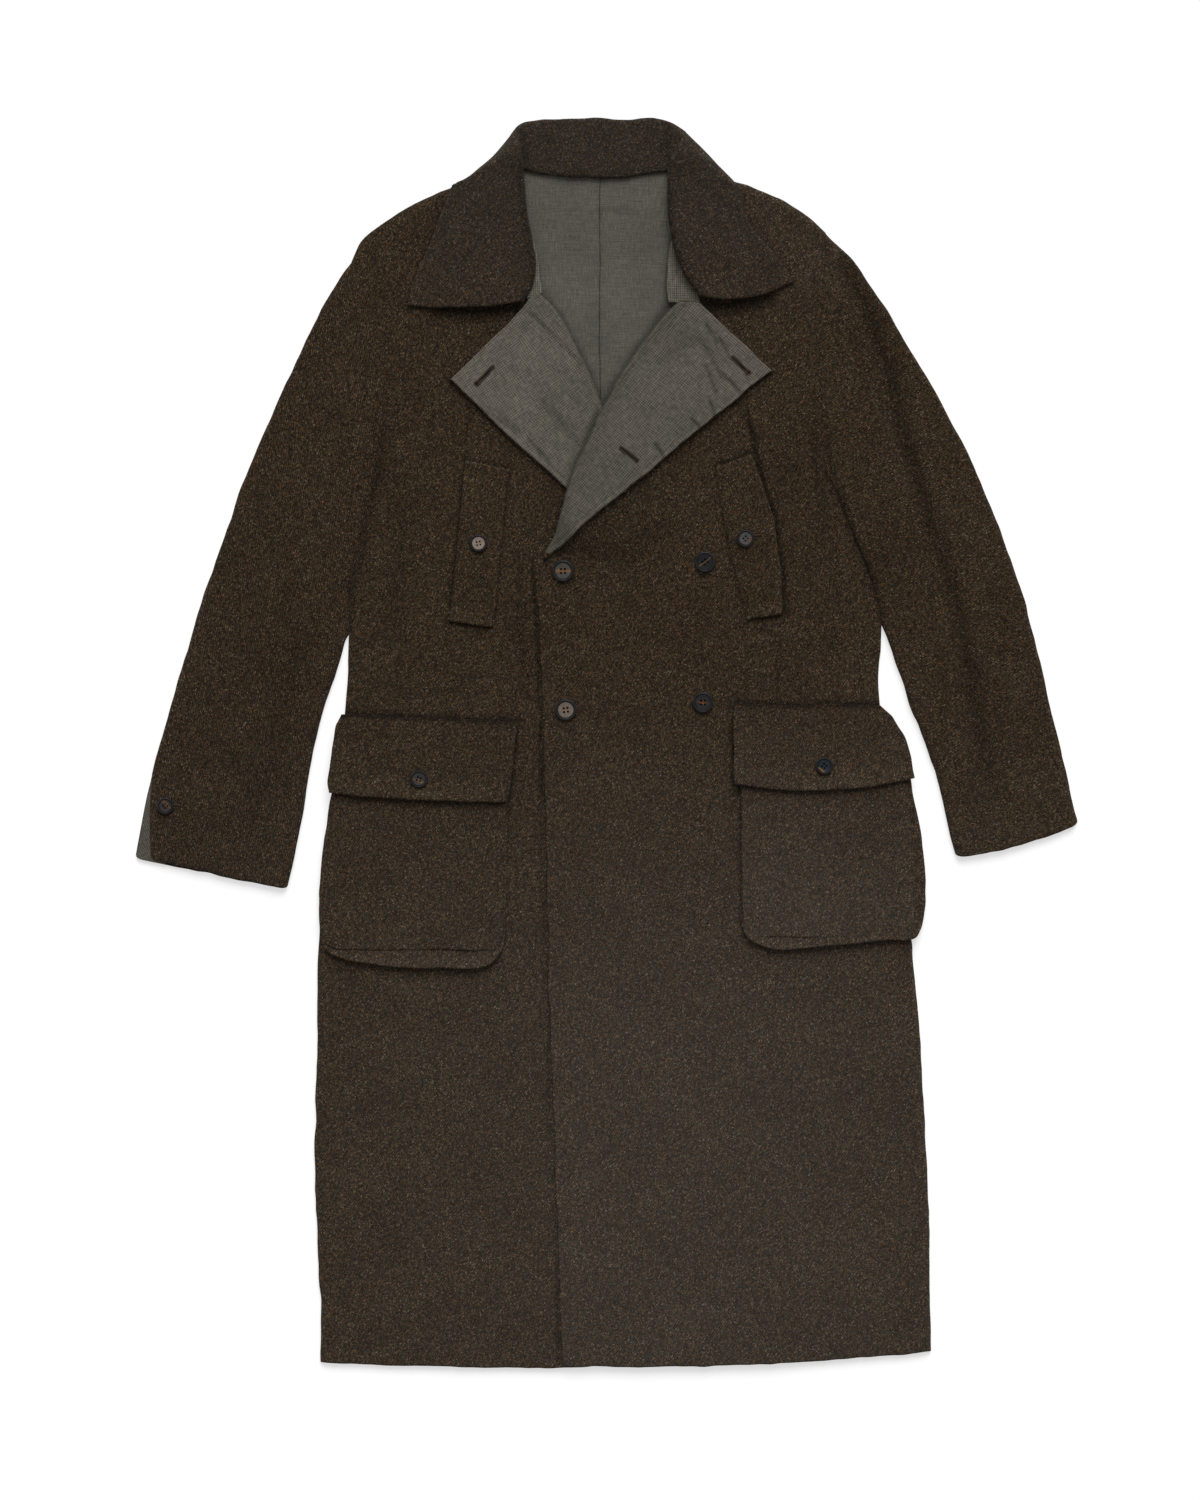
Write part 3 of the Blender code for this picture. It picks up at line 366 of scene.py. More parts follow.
# Bellows pockets: front from bottom to mouth, then the gusset round it from one top corner to the other
POCKET_RIGHT = [
    (342, 949, 492, 950), (328, 944, 500, 943), (323, 930, 504, 925), (325, 900, 504, 895),
    (328, 858, 504, 856), (332, 817, 506, 816), (334, 775, 510, 785), (337, 734, 515, 745),
]
POCKET_LEFT = [
    (757, 937, 908, 936), (746, 932, 912, 930), (742, 918, 913, 915), (741, 888, 912, 884),
    (741, 848, 911, 848), (741, 812, 910, 812), (740, 768, 903, 768), (739, 726, 893, 724),
]
GUSSET_RIGHT = [
    (333, 790), (326, 830), (321, 870), (320, 920), (324, 946), (342, 957), (370, 963), (404, 967),
    (459, 968), (484, 966), (497, 957), (504, 940), (506, 900), (507, 850), (508, 800),
]
GUSSET_LEFT = [
    (740, 785), (740, 830), (740, 880), (741, 922), (748, 938), (760, 945), (776, 949), (803, 948),
    (840, 944), (879, 941), (910, 938), (919, 930), (924, 910), (925, 879), (922, 843), (917, 813),
    (911, 788), (907, 765),
]
GUSSET_DEPTH = 0.36
GUSSET_ROWS = 150
GUSSET_COLUMNS = 12
GUSSET_START = 0.14
GUSSET_MARK_SHARE = 30
GUSSET_LIP = 2.4
GUSSET_LIP_WIDTH = 10
GUSSET_SWELL = 1.8
GUSSET_SWELL_WIDTH = 20
GUSSET_FOOT = 34
GUSSET_FOOT_FADE = 30
# How far what hangs past the left side seam droops
DROOP_LEFT = 3.0
DROOP_WIDTH = 14

# Pocket flaps from bottom to sewn edge: left across, down, right across, down, share of the height
FLAP_RIGHT = [
    (330, 793, 506, 802, 1.0), (329, 780, 509, 790, 1.0), (332, 754, 513, 763, 1.0),
    (336, 729, 516, 738, 1.0), (339, 721, 518, 730, 0.5), (342, 714, 519, 721, 0.0),
]
FLAP_LEFT = [
    (734, 785, 913, 778, 1.0), (733, 770, 911, 765, 1.0), (733, 744, 906, 742, 1.0),
    (733, 719, 894, 720, 1.0), (733, 711, 887, 712, 0.5), (734, 704, 880, 705, 0.0),
]
FLAP_SAG_RIGHT = 3.0
FLAP_SAG_LEFT = 8.5
FLAP_SAG_ROWS = 2
FLAP_LIP = 3.4
FLAP_LIP_LENGTH = 20

# Creases: from across, down, to across, down, bow aside, height (a trough if below 0), half width
CREASES_RIGHT = [
    (531, 600, 533, 1330, 3, -0.6, 8), (345, 638, 404, 640, 0, -0.6, 3.5),
    (340, 1352, 405, 1302, 4, 0.9, 5), (352, 1358, 425, 1322, -3, -0.8, 5),
    (395, 1360, 440, 1330, 2, 0.6, 4.5), (395, 235, 440, 300, 6, -0.7, 10),
    (470, 330, 455, 430, -4, 0.6, 12), (384, 445, 440, 520, 8, 0.9, 12), (352, 612, 430, 650, -8, -0.8, 11),
    (381, 480, 402, 560, 4, -0.9, 7), (520, 430, 540, 560, 5, 0.5, 12), (330, 990, 480, 1010, 8, 0.5, 14),
    (360, 1060, 500, 1180, 20, 0.5, 22), (470, 1010, 480, 1300, 12, -0.5, 16),
    (400, 1120, 380, 1330, -10, 0.5, 18),
]
CREASES_LEFT = [
    (821, 475, 829, 546, 2, -1.0, 5), (846, 540, 858, 600, 2, -0.9, 5), (745, 380, 800, 470, -10, 0.6, 14),
    (800, 300, 812, 420, 6, -0.7, 9), (868, 640, 800, 660, 6, -0.7, 9), (640, 600, 650, 760, 6, 0.5, 16),
    (600, 620, 610, 900, 8, -0.5, 18), (705, 1000, 720, 1300, -10, 0.5, 20),
    (620, 960, 610, 1340, 8, -0.5, 20), (820, 1000, 840, 1320, 10, -0.5, 18),
    (890, 980, 905, 1330, -6, 0.6, 14), (660, 1150, 800, 1190, 14, 0.4, 24),
    (880, 1350, 905, 1310, 3, 0.7, 5), (700, 1362, 690, 1330, 2, 0.5, 6),
]
CREASES_SLEEVE_RIGHT = [
    (351, 264, 335, 343, 3, 0.7, 2.6), (300, 380, 330, 470, 6, -0.9, 8), (262, 470, 300, 600, 10, 0.8, 12),
    (215, 640, 270, 700, 8, -0.7, 10), (190, 720, 285, 790, 8, 0.7, 10), (175, 800, 260, 850, -6, -0.6, 9),
    (330, 560, 300, 650, -5, 0.8, 9),
]
CREASES_SLEEVE_LEFT = [
    (838, 250, 893, 390, -3, -1.3, 8), (880, 350, 938, 556, -4, -1.7, 9), (926, 510, 986, 776, 6, -1.5, 10),
    (905, 400, 950, 560, -4, 1.2, 12), (870, 400, 915, 560, -4, 1.2, 12), (930, 640, 1010, 700, 8, 0.7, 12),
    (950, 720, 1040, 760, -8, -0.7, 10), (880, 480, 900, 600, 5, 0.9, 10),
    (985, 560, 1030, 700, 6, 0.6, 12), (960, 790, 1050, 800, 6, 0.6, 9),
]
CREASES_FACING_RIGHT = [
    (470, 402, 520, 432, 3, -0.4, 3), (505, 350, 560, 400, 4, 0.4, 6), (540, 400, 585, 450, -4, -0.35, 5),
    (500, 372, 512, 390, 1, 0.4, 2.5), (560, 350, 580, 400, 2, 0.4, 5), (530, 440, 548, 462, 1, -0.45, 2.2),
]
CREASES_FACING_LEFT = [
    (706, 325, 717, 343, 1, -0.65, 1.9), (720, 339, 729, 359, 1, -0.65, 1.9),
    (704, 345, 721, 378, 2, -0.65, 2.1), (719, 372, 744, 397, -1, -0.65, 2.1),
    (705, 367, 715, 392, 1, -0.6, 1.9), (709, 402, 715, 418, 1, -0.6, 1.7),
    (712, 338, 724, 366, 2, 0.5, 2.6), (600, 470, 640, 430, -3, 0.4, 6), (660, 360, 700, 340, 3, -0.35, 5),
    (575, 540, 612, 500, 2, 0.4, 5), (690, 420, 702, 432, 0, -0.5, 1.8), (655, 446, 664, 458, 0, -0.5, 1.8),
    (680, 350, 700, 380, 3, 0.4, 4), (728, 380, 742, 396, 1, -0.5, 1.8),
]
CREASES_COLLAR = [
    (545, 136, 549, 174, 2, -0.8, 3), (605, 146, 603, 168, 1, -0.6, 2.6), (655, 146, 666, 173, 2, -0.8, 3),
    (575, 130, 580, 176, -2, 0.6, 4.5), (630, 132, 628, 176, 2, 0.6, 4.5), (527, 140, 534, 172, 1, 0.5, 3),
    (745, 205, 775, 285, 6, 0.8, 9), (715, 240, 735, 296, -4, -0.6, 8), (470, 220, 450, 300, -5, 0.7, 10),
    (505, 210, 500, 295, 3, -0.6, 8), (690, 180, 730, 220, 3, -0.6, 6), (430, 290, 480, 300, 2, 0.6, 5),
]
CREASES_LINING = [
    (588, 214, 642, 217, 1, -0.45, 2.6), (540, 230, 560, 330, 4, 0.5, 8), (640, 240, 630, 340, -4, -0.5, 8),
    (575, 300, 592, 392, 2, 0.4, 6), (560, 200, 566, 262, 2, -0.4, 5), (655, 195, 650, 250, 2, 0.5, 6),
]
CREASES_NECK_STRIP_LEFT = [(677, 244, 678, 303, 1, -0.8, 2.2)]

CREASE_GAIN = 1.6
CREASE_ENDS = 0.7
# Painted shade in the troughs of the facings' creases
FOLD_SHADE = 1.4

# Slow unevenness of the laid cloth: size of its lumps, height, seed
UNEVEN = [(95, 0.55, 11), (41, 0.42, 12), (17, 0.11, 13)]
UNEVEN_FACING = [(9, 0.14, 31), (21, 0.22, 32)]
UNEVEN_LINING = [(23, 0.2, 33)]
UNEVEN_CUFF = [(11, 0.12, 34)]
UNEVEN_COLLAR = [(27, 0.35, 35)]
UNEVEN_PANEL = [(19, 0.25, 36)]
PUCKER = [(6, 0.32, 37)]
ROLL_WANDER = [(14, 1.2, 38)]
# Wander of the outlines: size of its lumps, reach, seed across, seed down
WANDER = [(26, 0.95, 21, 22), (11, 0.45, 23, 24)]
NOISE_CELLS = 128

# Panel seams sewn into the fronts: across, down
PANEL_SEAM_LEFT = [
    (738, 352), (746, 396), (752, 439), (759, 479), (771, 518), (779, 546), (783, 579), (781, 614),
    (776, 700),
]
PANEL_SEAM_RIGHT = [(470, 400), (465, 461), (458, 540), (449, 622), (444, 712)]
SEAM_DEPTH = 0.55
SEAM_HALF = 3.2

# Painted pale haze down the coat and round the neck, standing in for sheen on the nap
HAZE_START = 610
HAZE_LENGTH = 480
HAZE_ACROSS = 660
HAZE_WIDE = 420
HAZE_NECK = 0.3
HAZE_NECK_DOWN = 330
HAZE_NECK_WIDE = 220
HAZE_NECK_SOFT = 60
# Share of the painted haze on each piece
HAZE_FRONT_RIGHT = 0.75
HAZE_FRONT_LEFT = 1.0
HAZE_POCKET_RIGHT = 0.8
HAZE_POCKET_LEFT = 1.7

# Painted shade on the cloth, in creases, beside edges and under what lies over it, with seams darkened too:
# where, half width, share
SHADE_ARMHOLE_RIGHT = [
    ([(384, 430), (378, 480), (363, 540), (352, 590)], 7, 0.4),
    ([(381, 440), (366, 525), (352, 590), (350, 632)], 3, 0.4),
]
SEAM_AND_SHADE_LINES_RIGHT = [
    ([(533, 560), (539, 700), (542, 800)], 1.9, 0.9),
    ([(541, 800), (545, 960), (552, 1178), (559, 1360)], 1.7, 0.5),
    ([(408, 306), (425, 257), (441, 213), (452, 190)], 2.6, 0.4),
    ([(440, 312), (480, 314), (512, 308)], 9, 0.75), ([(350, 640), (404, 643)], 4, 0.25),
    ([(400, 480), (404, 560), (392, 620)], 12, 0.2),
    ([(450, 381), (500, 430), (545, 470), (600, 510)], 2.6, 0.6), ([(520, 560), (524, 690)], 8, 0.25),
    ([(465, 460), (459, 530), (449, 622)], 2.6, 0.7), ([(462, 460), (508, 469)], 2.4, 0.5),
]
SHADE_ARMHOLE_LEFT = [
    ([(838, 490), (852, 535), (870, 582)], 6, 0.45),
    ([(826, 440), (836, 490), (856, 545), (876, 594), (881, 624)], 3, 0.35),
    ([(826, 474), (834, 489), (843, 509), (855, 537), (868, 571), (877, 603)], 1.9, 0.85),
]
SEAM_AND_SHADE_LINES_LEFT = [
    ([(749, 420), (757, 462), (767, 495), (776, 522), (780, 550), (783, 577), (784, 613)], 3.4, 0.85),
    ([(716, 466), (751, 453)], 2.8, 0.85), ([(748, 622), (772, 616)], 4, 0.5),
    ([(794, 284), (780, 263), (765, 244), (748, 220)], 2.6, 0.35),
    ([(706, 306), (735, 307), (768, 300)], 9, 0.75),
    ([(772, 373), (730, 408), (680, 450), (620, 500), (556, 556)], 3.2, 0.65),
    ([(813, 400), (818, 470), (826, 545)], 5, 0.3), ([(700, 420), (640, 490), (590, 545)], 14, 0.2),
]
SHADE_SLEEVE_LEFT = [
    ([(846, 262), (870, 318), (888, 371), (923, 503), (954, 604), (973, 692), (986, 774)], 9, 0.42),
]
SHADE_SLEEVE_RIGHT = [
    ([(275, 680), (212, 880)], 70, 0.15), ([(300, 640), (262, 760), (250, 850)], 26, 0.24),
]
SHADE_COLLAR_LINES = [
    ([(514, 168), (540, 175), (600, 180), (660, 174), (690, 168)], 6, 0.3),
    ([(523, 136), (527, 172)], 6, 0.35), ([(666, 128), (668, 150), (669, 172)], 4, 0.4),
    ([(545, 140), (549, 172)], 3, 0.25), ([(605, 146), (603, 168)], 3, 0.22),
    ([(652, 146), (662, 173)], 3, 0.25),
    ([(520, 163), (522, 187), (524, 212), (529, 237), (532, 262), (530, 284), (519, 302)], 4, 0.4),
    ([(673, 167), (671, 189), (671, 214), (675, 241), (682, 262), (690, 281), (702, 298)], 4, 0.4),
]
# Painted shadow on the lining beside the lapels' rolls
SHADOW_ON_LINING = [
    ([(541, 292), (559, 314), (576, 347), (591, 378), (602, 406)], 4.5, 0.5),
    ([(602, 408), (618, 381), (633, 356), (654, 328), (670, 303)], 5.5, 0.7),
    ([(667, 303), (667, 275), (671, 242)], 3.5, 0.4), ([(541, 292), (533, 262)], 3.5, 0.3),
]
# Painted shadow of the left lapel on the right facing
SHADOW_ON_FACING_RIGHT = [([(601, 408), (588, 436), (577, 463), (566, 500)], 4.0, 0.75)]
# Half width and share of darkened seams and stitching, and of painted shade round what is sewn on and under
# the flaps
SEAM_PRESSED_AND_SHADED_RIGHT = (1.8, 0.3)
SEAM_PRESSED_AND_SHADED_LEFT = (1.8, 0.4)
STITCHES_PRESSED_AND_SHADED = (1.1, 0.5)
SHADE_ROUND_WELT = (2.0, 0.6)
SHADE_ROUND_POCKET = (3.0, 0.5)
SHADE_ROUND_FLAP = (2.4, 0.6)
SHADE_FLAP_TOP = (4.0, 0.8)
SHADE_FLAP_SEAM = (4.6, 0.92)
SHADE_FLAP_FOLD = (10, 0.28)
SHADOW_UNDER_FLAP = (7, 0.35)

# Grain of each cloth on the table, in degrees from straight down
GRAIN_SLEEVE_RIGHT = -24
GRAIN_SLEEVE_LEFT = 22
GRAIN_FACING_RIGHT = 55
GRAIN_FACING_LEFT = -50
GRAIN_COLLAR = 8
TWILL_TURN = 35

# Buttons: name, across, down, radius, what it is sewn to, turn in degrees, look of its horn
BUTTONS = [
    ("button_front_right_upper", 562.4, 571.4, 10.9, "tweed_front_left", 2, "horn_banded"),
    ("button_front_right_lower", 566.4, 709.5, 10.8, "tweed_front_left", 8, "horn_pale"),
    ("button_front_left_upper", 704.4, 562.2, 10.4, "tweed_front_left", 40, "horn_black"),
    ("button_front_left_lower", 702.0, 703.6, 10.4, "tweed_front_left", 0, "horn_rust"),
    ("button_chest_right", 479.3, 544.3, 8.8, "tweed_chest_welt_right", 12, "horn_bone"),
    ("button_chest_left", 745.5, 539.6, 8.8, "tweed_chest_welt_left", 45, "horn_grey"),
    ("button_flap_right", 419.0, 779.0, 8.8, "tweed_pocket_flap_right", -20, "horn_smoke"),
    ("button_flap_left", 823.0, 766.0, 8.7, "tweed_pocket_flap_left", -37, "horn_blue"),
    ("button_cuff_right", 166.5, 806.0, 8.4, "tweed_sleeve_upper_right", 135, "horn_smoke"),
]
BUTTON_STEPS = 56
BUTTON_REST = 0.5
BUTTON_FOOT = 0.8
BUTTON_MERGE = 0.0005
BUTTON_SHARP = 50
# Turned profile from the middle of the top to the middle of the foot: share of the radius, height
BUTTON_PROFILE = [
    (0.0, 2.1), (0.4, 2.1), (0.58, 2.2), (0.69, 2.4), (0.72, 2.2), (0.745, 2.0), (0.77, 2.2), (0.8, 2.75),
    (0.84, 3.0), (0.89, 3.0), (0.945, 2.68), (0.985, 2.25), (1.0, 1.8), (0.985, 1.35), (0.93, 0.85),
    (0.8, 0.15), (0.7, 0.0), (0.0, 0.0),
]
HOLES = 4
HOLE_PLACE = 0.25
HOLE_SIDES = 16
HOLE_RADIUS = 0.11
HOLE_DEPTH = 6.0
THREAD_RADIUS = 0.06
THREAD_LOW = 0.4
THREAD_HIGH = 1.3

# Buttonholes: name, slit from across, down, to across, down, with an eyelet or not, where it is cut
BUTTONHOLES = [
    ("buttonhole_lapel_right", 494.5, 368.0, 477.5, 384.0, True, "cotton_facing_right"),
    ("buttonhole_lapel_left_upper", 731.0, 357.5, 747.5, 373.0, True, "cotton_facing_left"),
    ("buttonhole_lapel_left_lower", 619.5, 448.5, 638.0, 462.5, False, "cotton_facing_left"),
    ("buttonhole_chest_left", 751.0, 538.6, 761.0, 537.0, False, "tweed_chest_welt_left"),
    ("buttonhole_cuff_right", 172.0, 805.6, 181.0, 806.6, False, "tweed_sleeve_upper_right"),
]
STITCH_PITCH = 0.85
STITCH_REACH = 1.5
STITCH_RADIUS = 0.42
STITCH_START = 0.7
STITCH_HIGH = 0.35
STITCH_LOW = 0.12
SLIT_HALF = 1.0
SLIT_SHARE = 0.75
SLIT_UP = 0.1
SLIT_FLAT = 0.3
EYELET_RADIUS = 2.0
EYELET_START = 0.8
EYELET_STITCHES = 14
EYELET_SIDES = 16
EYELET_RINGS = 6
BAR_BACK = 0.8
BAR_FROM = 1.4
BAR_TO = 1.2
BAR_UP = 0.25
# Rods that stand for threads
ROD_SIDES = 6
ROD_RINGS = 5
ROD_REACH = 0.58

# Sewn lines: name, what they lie on, aside from the line, then the line's places
SEWN_LINES = [
    (
        "stitching_lapel_right", "cotton_facing_right", (-1.6, 1.6),
        [(529, 313), (537, 319), (550, 332), (566, 349), (583, 366)],
    ),
    (
        "stitching_lapel_left", "cotton_facing_left", (-1.6, 1.6),
        [(694, 301), (679, 310), (661, 327), (646, 343), (634, 358)],
    ),
]
SEWN_LENGTH = 2.3
SEWN_GAP = 0.7
SEWN_RADIUS = 0.26
SEWN_STEP = 0.5
SEWN_UP = 0.08

# Bar tacks at the corners of the chest welts: across, down, turn in degrees, what they lie on
TACKS = [
    (467, 463, 80, "tweed_chest_welt_right"),
    (507.5, 471.5, 80, "tweed_chest_welt_right"),
    (457, 620.5, 80, "tweed_chest_welt_right"),
    (491, 625.5, 80, "tweed_chest_welt_right"),
    (717, 469, 70, "tweed_chest_welt_left"),
    (749, 457.5, 70, "tweed_chest_welt_left"),
    (750, 618, 70, "tweed_chest_welt_left"),
    (779.5, 612, 70, "tweed_chest_welt_left"),
]
TACK_LENGTH = 2.4
TACK_THREADS = 2
TACK_RADIUS = 0.34
TACK_SPACING = 1.6
TACK_UP = 0.1


# Small tools for sizes, on whole grids of places

def between(table, keys):
    """Columns of a table at keys between its rows, on a smooth curve through them."""
    table = np.asarray(table, float)
    place = table[:, 0]
    value = table[:, 1:]
    slope = np.empty_like(value)
    slope[1:-1] = (value[2:] - value[:-2]) / (place[2:] - place[:-2])[:, None]
    slope[0] = (value[1] - value[0]) / (place[1] - place[0])
    slope[-1] = (value[-1] - value[-2]) / (place[-1] - place[-2])
    keys = np.clip(np.asarray(keys, float), place[0], place[-1])
    at = np.clip(np.searchsorted(place, keys, side="left") - 1, 0, len(place) - 2)
    span = (place[at + 1] - place[at])[..., None]
    part = (keys - place[at])[..., None] / span
    square = part * part
    cube = square * part
    return (
        value[at] * (2 * cube - 3 * square + 1)
        + value[at + 1] * (3 * square - 2 * cube)
        + span * slope[at] * (cube - 2 * square + part)
        + span * slope[at + 1] * (cube - square)
    )


def straight(table, keys):
    """Columns of a table at keys between its rows, on straights through them."""
    table = np.asarray(table, float)
    return np.stack([np.interp(keys, table[:, 0], column) for column in table[:, 1:].T], axis=-1)


def numbered(table):
    """A table with its row numbers as keys."""
    return [(number, *row) for number, row in enumerate(table)]


def ramp(part):
    """Straight step from 0 to 1."""
    return np.clip(part, 0.0, 1.0)


def ease(part):
    """Soft step from 0 to 1."""
    part = ramp(part)
    return part * part * (3 - 2 * part)


def bow(part):
    """Arch between two ends, 0 at both and 1 in the middle."""
    return 4 * part * (1 - part)


def dome(part):
    """Quarter round from 0 to 1."""
    return np.sqrt(1 - (1 - ramp(part)) ** 2)


def beside(points, start, end):
    """Share along the straight between two places, and the distance to its left."""
    start = np.asarray(start, float)
    along = np.asarray(end, float) - start
    length = np.hypot(*along)
    there = points - start
    share = there @ along / length ** 2
    aside = (there[..., 0] * along[1] - there[..., 1] * along[0]) / length
    return share, aside


def distance_to(points, start, end):
    """Distance on the table to the straight between two places."""
    share, _ = beside(points, start, end)
    start = np.asarray(start, float)
    nearest = start + ramp(share)[..., None] * (np.asarray(end, float) - start)
    return np.linalg.norm(points - nearest, axis=-1)


def distance_to_line(points, line):
    """Distance on the table to a line through several places."""
    return np.min([distance_to(points, start, end) for start, end in zip(line, line[1:])], axis=0)


@functools.cache
def noise_cells(seed):
    """Grid of uneven values from -1 to 1, the same each time."""
    return np.random.default_rng(seed).uniform(-1, 1, (NOISE_CELLS, NOISE_CELLS))


def cloudy(points, size, seed):
    """Smooth unevenness from -1 to 1 with lumps of a given size."""
    cells = noise_cells(seed)
    cell = np.floor(points / size).astype(int)
    part = ease(points / size - cell)
    found = 0.0
    for step_across in (0, 1):
        for step_down in (0, 1):
            share = part[..., 0] if step_across else 1 - part[..., 0]
            share = share * (part[..., 1] if step_down else 1 - part[..., 1])
            across = (cell[..., 0] + step_across) % NOISE_CELLS
            down = (cell[..., 1] + step_down) % NOISE_CELLS
            found = found + share * cells[across, down]
    return found


def uneven(points, lumps):
    """Slow unevenness of cloth that lies loosely."""
    return sum(height * cloudy(points, size, seed) for size, height, seed in lumps)


def creased(points, creases):
    """Height that soft ridges and troughs add."""
    rise = np.zeros(points.shape[:-1])
    for from_across, from_down, to_across, to_down, bend, height, half in creases:
        share, aside = beside(points, (from_across, from_down), (to_across, to_down))
        share = ramp(share)
        off = (aside - bend * bow(share)) / half
        rise += CREASE_GAIN * height * np.sin(np.pi * share) ** CREASE_ENDS * np.exp(-off * off)
    return rise


def table_place(points):
    """From millimetres on the laying table to metres about the coat's middle, with wandering outlines."""
    points = np.asarray(points, float)
    flat = points[..., :2]
    across = flat[..., 0] - MIDDLE_ACROSS
    down = flat[..., 1] - MIDDLE_DOWN
    for size, reach, seed_across, seed_down in WANDER:
        across = across + reach * cloudy(flat, size, seed_across)
        down = down + reach * cloudy(flat, size, seed_down)
    return np.stack([across, -down, points[..., 2]], axis=-1) * MILLIMETRE


def joined(flat, height):
    """Places on the table with their heights."""
    return np.concatenate([flat, height[..., None]], axis=-1)


# Heights of the cloth that other pieces lie on

def lift(points):
    """Rise at the neck over the collar's leaf."""
    aside = np.abs(points[..., 0] - NECK_ACROSS) - LIFT_HALF_WIDTH
    below = points[..., 1] - LIFT_DOWN
    return NECK_LIFT * (1 - ramp(aside / LIFT_FADE)) * (1 - ramp(below / LIFT_LENGTH))


def roll_raise(points, roll, first):
    """Soft rise of a front towards its roll line."""
    line = [row[1:] for row in roll if first < row[0] <= GORGE]
    return ROLL_RAISE * (1 - ease(distance_to_line(points, line) / ROLL_RAISE_WIDTH))


def seam_dip(points, line):
    """Soft valley along a sewn panel seam."""
    near = distance_to_line(points, line) / SEAM_HALF
    return SEAM_DEPTH * np.exp(-near * near)


def right_top(points):
    """Upper face of the right front."""
    flat = RIGHT_TOP + lift(points) + roll_raise(points, ROLL_RIGHT, BREAK_RIGHT)
    flat = flat + uneven(points, UNEVEN) + creased(points, CREASES_RIGHT)
    return flat - seam_dip(points, PANEL_SEAM_RIGHT)


def left_top(points):
    """Upper face of the left front."""
    inward = ease((SINK_ACROSS - points[..., 0]) / SINK_WIDTH)
    below = ease((points[..., 1] - SINK_DOWN) / SINK_LENGTH)
    flat = LEFT_TOP_SINGLE + (LEFT_TOP_OVER - LEFT_TOP_SINGLE) * (inward * below)
    beyond = distance_to(points, OVERLAP_TOP, OVERLAP_BOTTOM) - OVERLAP_FULL
    rise = OVERLAP_RISE * (1 - ease(beyond / OVERLAP_FADE))
    flat = flat + rise + lift(points) + roll_raise(points, ROLL_LEFT, BREAK_LEFT)
    flat = flat + uneven(points, UNEVEN) + creased(points, CREASES_LEFT)
    return flat - seam_dip(points, PANEL_SEAM_LEFT)


def lapel_under(points, part, top):
    """Height of a lapel's under side, settling from the roll to its edge."""
    return top(points) + 2 * ROLL_RADIUS + (LAPEL_REST - 2 * ROLL_RADIUS) * ease(part)


def outline(table):
    """Closed line round a panel that is given by its rows."""
    left = [row[0:2] for row in table]
    right = [row[2:4] for row in table]
    return left + right[::-1] + left[:1]


def ends(row):
    """Both ends of a crease, or of a panel's row."""
    return [row[0:2], row[2:4]]


def panel_lines(welt_rows, pocket_rows, flap_rows):
    """Lines of painted shade on a front round what is sewn to it."""
    return [
        (outline(welt_rows), *SHADE_ROUND_WELT),
        (outline(pocket_rows), *SHADE_ROUND_POCKET),
        (outline(flap_rows), *SHADE_ROUND_FLAP),
        (ends(flap_rows[-1]), *SHADE_FLAP_TOP),
    ]


def seams_and_painted_shade(points, lines):
    """Closeness to seams and to lines of painted shade, where the cloth is darkened."""
    near = [share * np.exp(-(distance_to_line(points, line) / half) ** 2) for line, half, share in lines]
    return np.max(near, axis=0)


def sheen_haze(points):
    """Share of a painted pale haze that stands in for sheen, from none at the chest to most at the hem, and
    round the neck.
    """
    across = np.abs(points[..., 0] - HAZE_ACROSS)
    down = points[..., 1]
    low = ease((down - HAZE_START) / HAZE_LENGTH) * np.exp(-(across / HAZE_WIDE) ** 2)
    above = ease((HAZE_NECK_DOWN - down) / HAZE_NECK_SOFT)
    neck = HAZE_NECK * above * ease((HAZE_NECK_WIDE - across) / HAZE_NECK_SOFT)
    return np.maximum(low, neck)


# Making of a sheet of cloth

def free_edge(inset):
    """Share of the wall that a free edge keeps, by the distance in from it."""
    return np.maximum(FREE_THIN, dome(inset / FREE_ROUND))


def spread(width, near, far, step):
    """Distances across rows of given widths: marks at both ends, and even ones between."""
    width = np.atleast_1d(np.asarray(width, float))[:, None]
    count = max(2, round(float(width.max()) / step))
    even = np.linspace(0, 1, count + 1)[None, 1:-1]
    middle = near[-1] + (width - near[-1] - far[-1]) * even
    first = np.broadcast_to(np.asarray(near, float), (len(width), len(near)))
    last = width - np.asarray(far, float)[::-1]
    return np.concatenate([first, middle, last], axis=1)


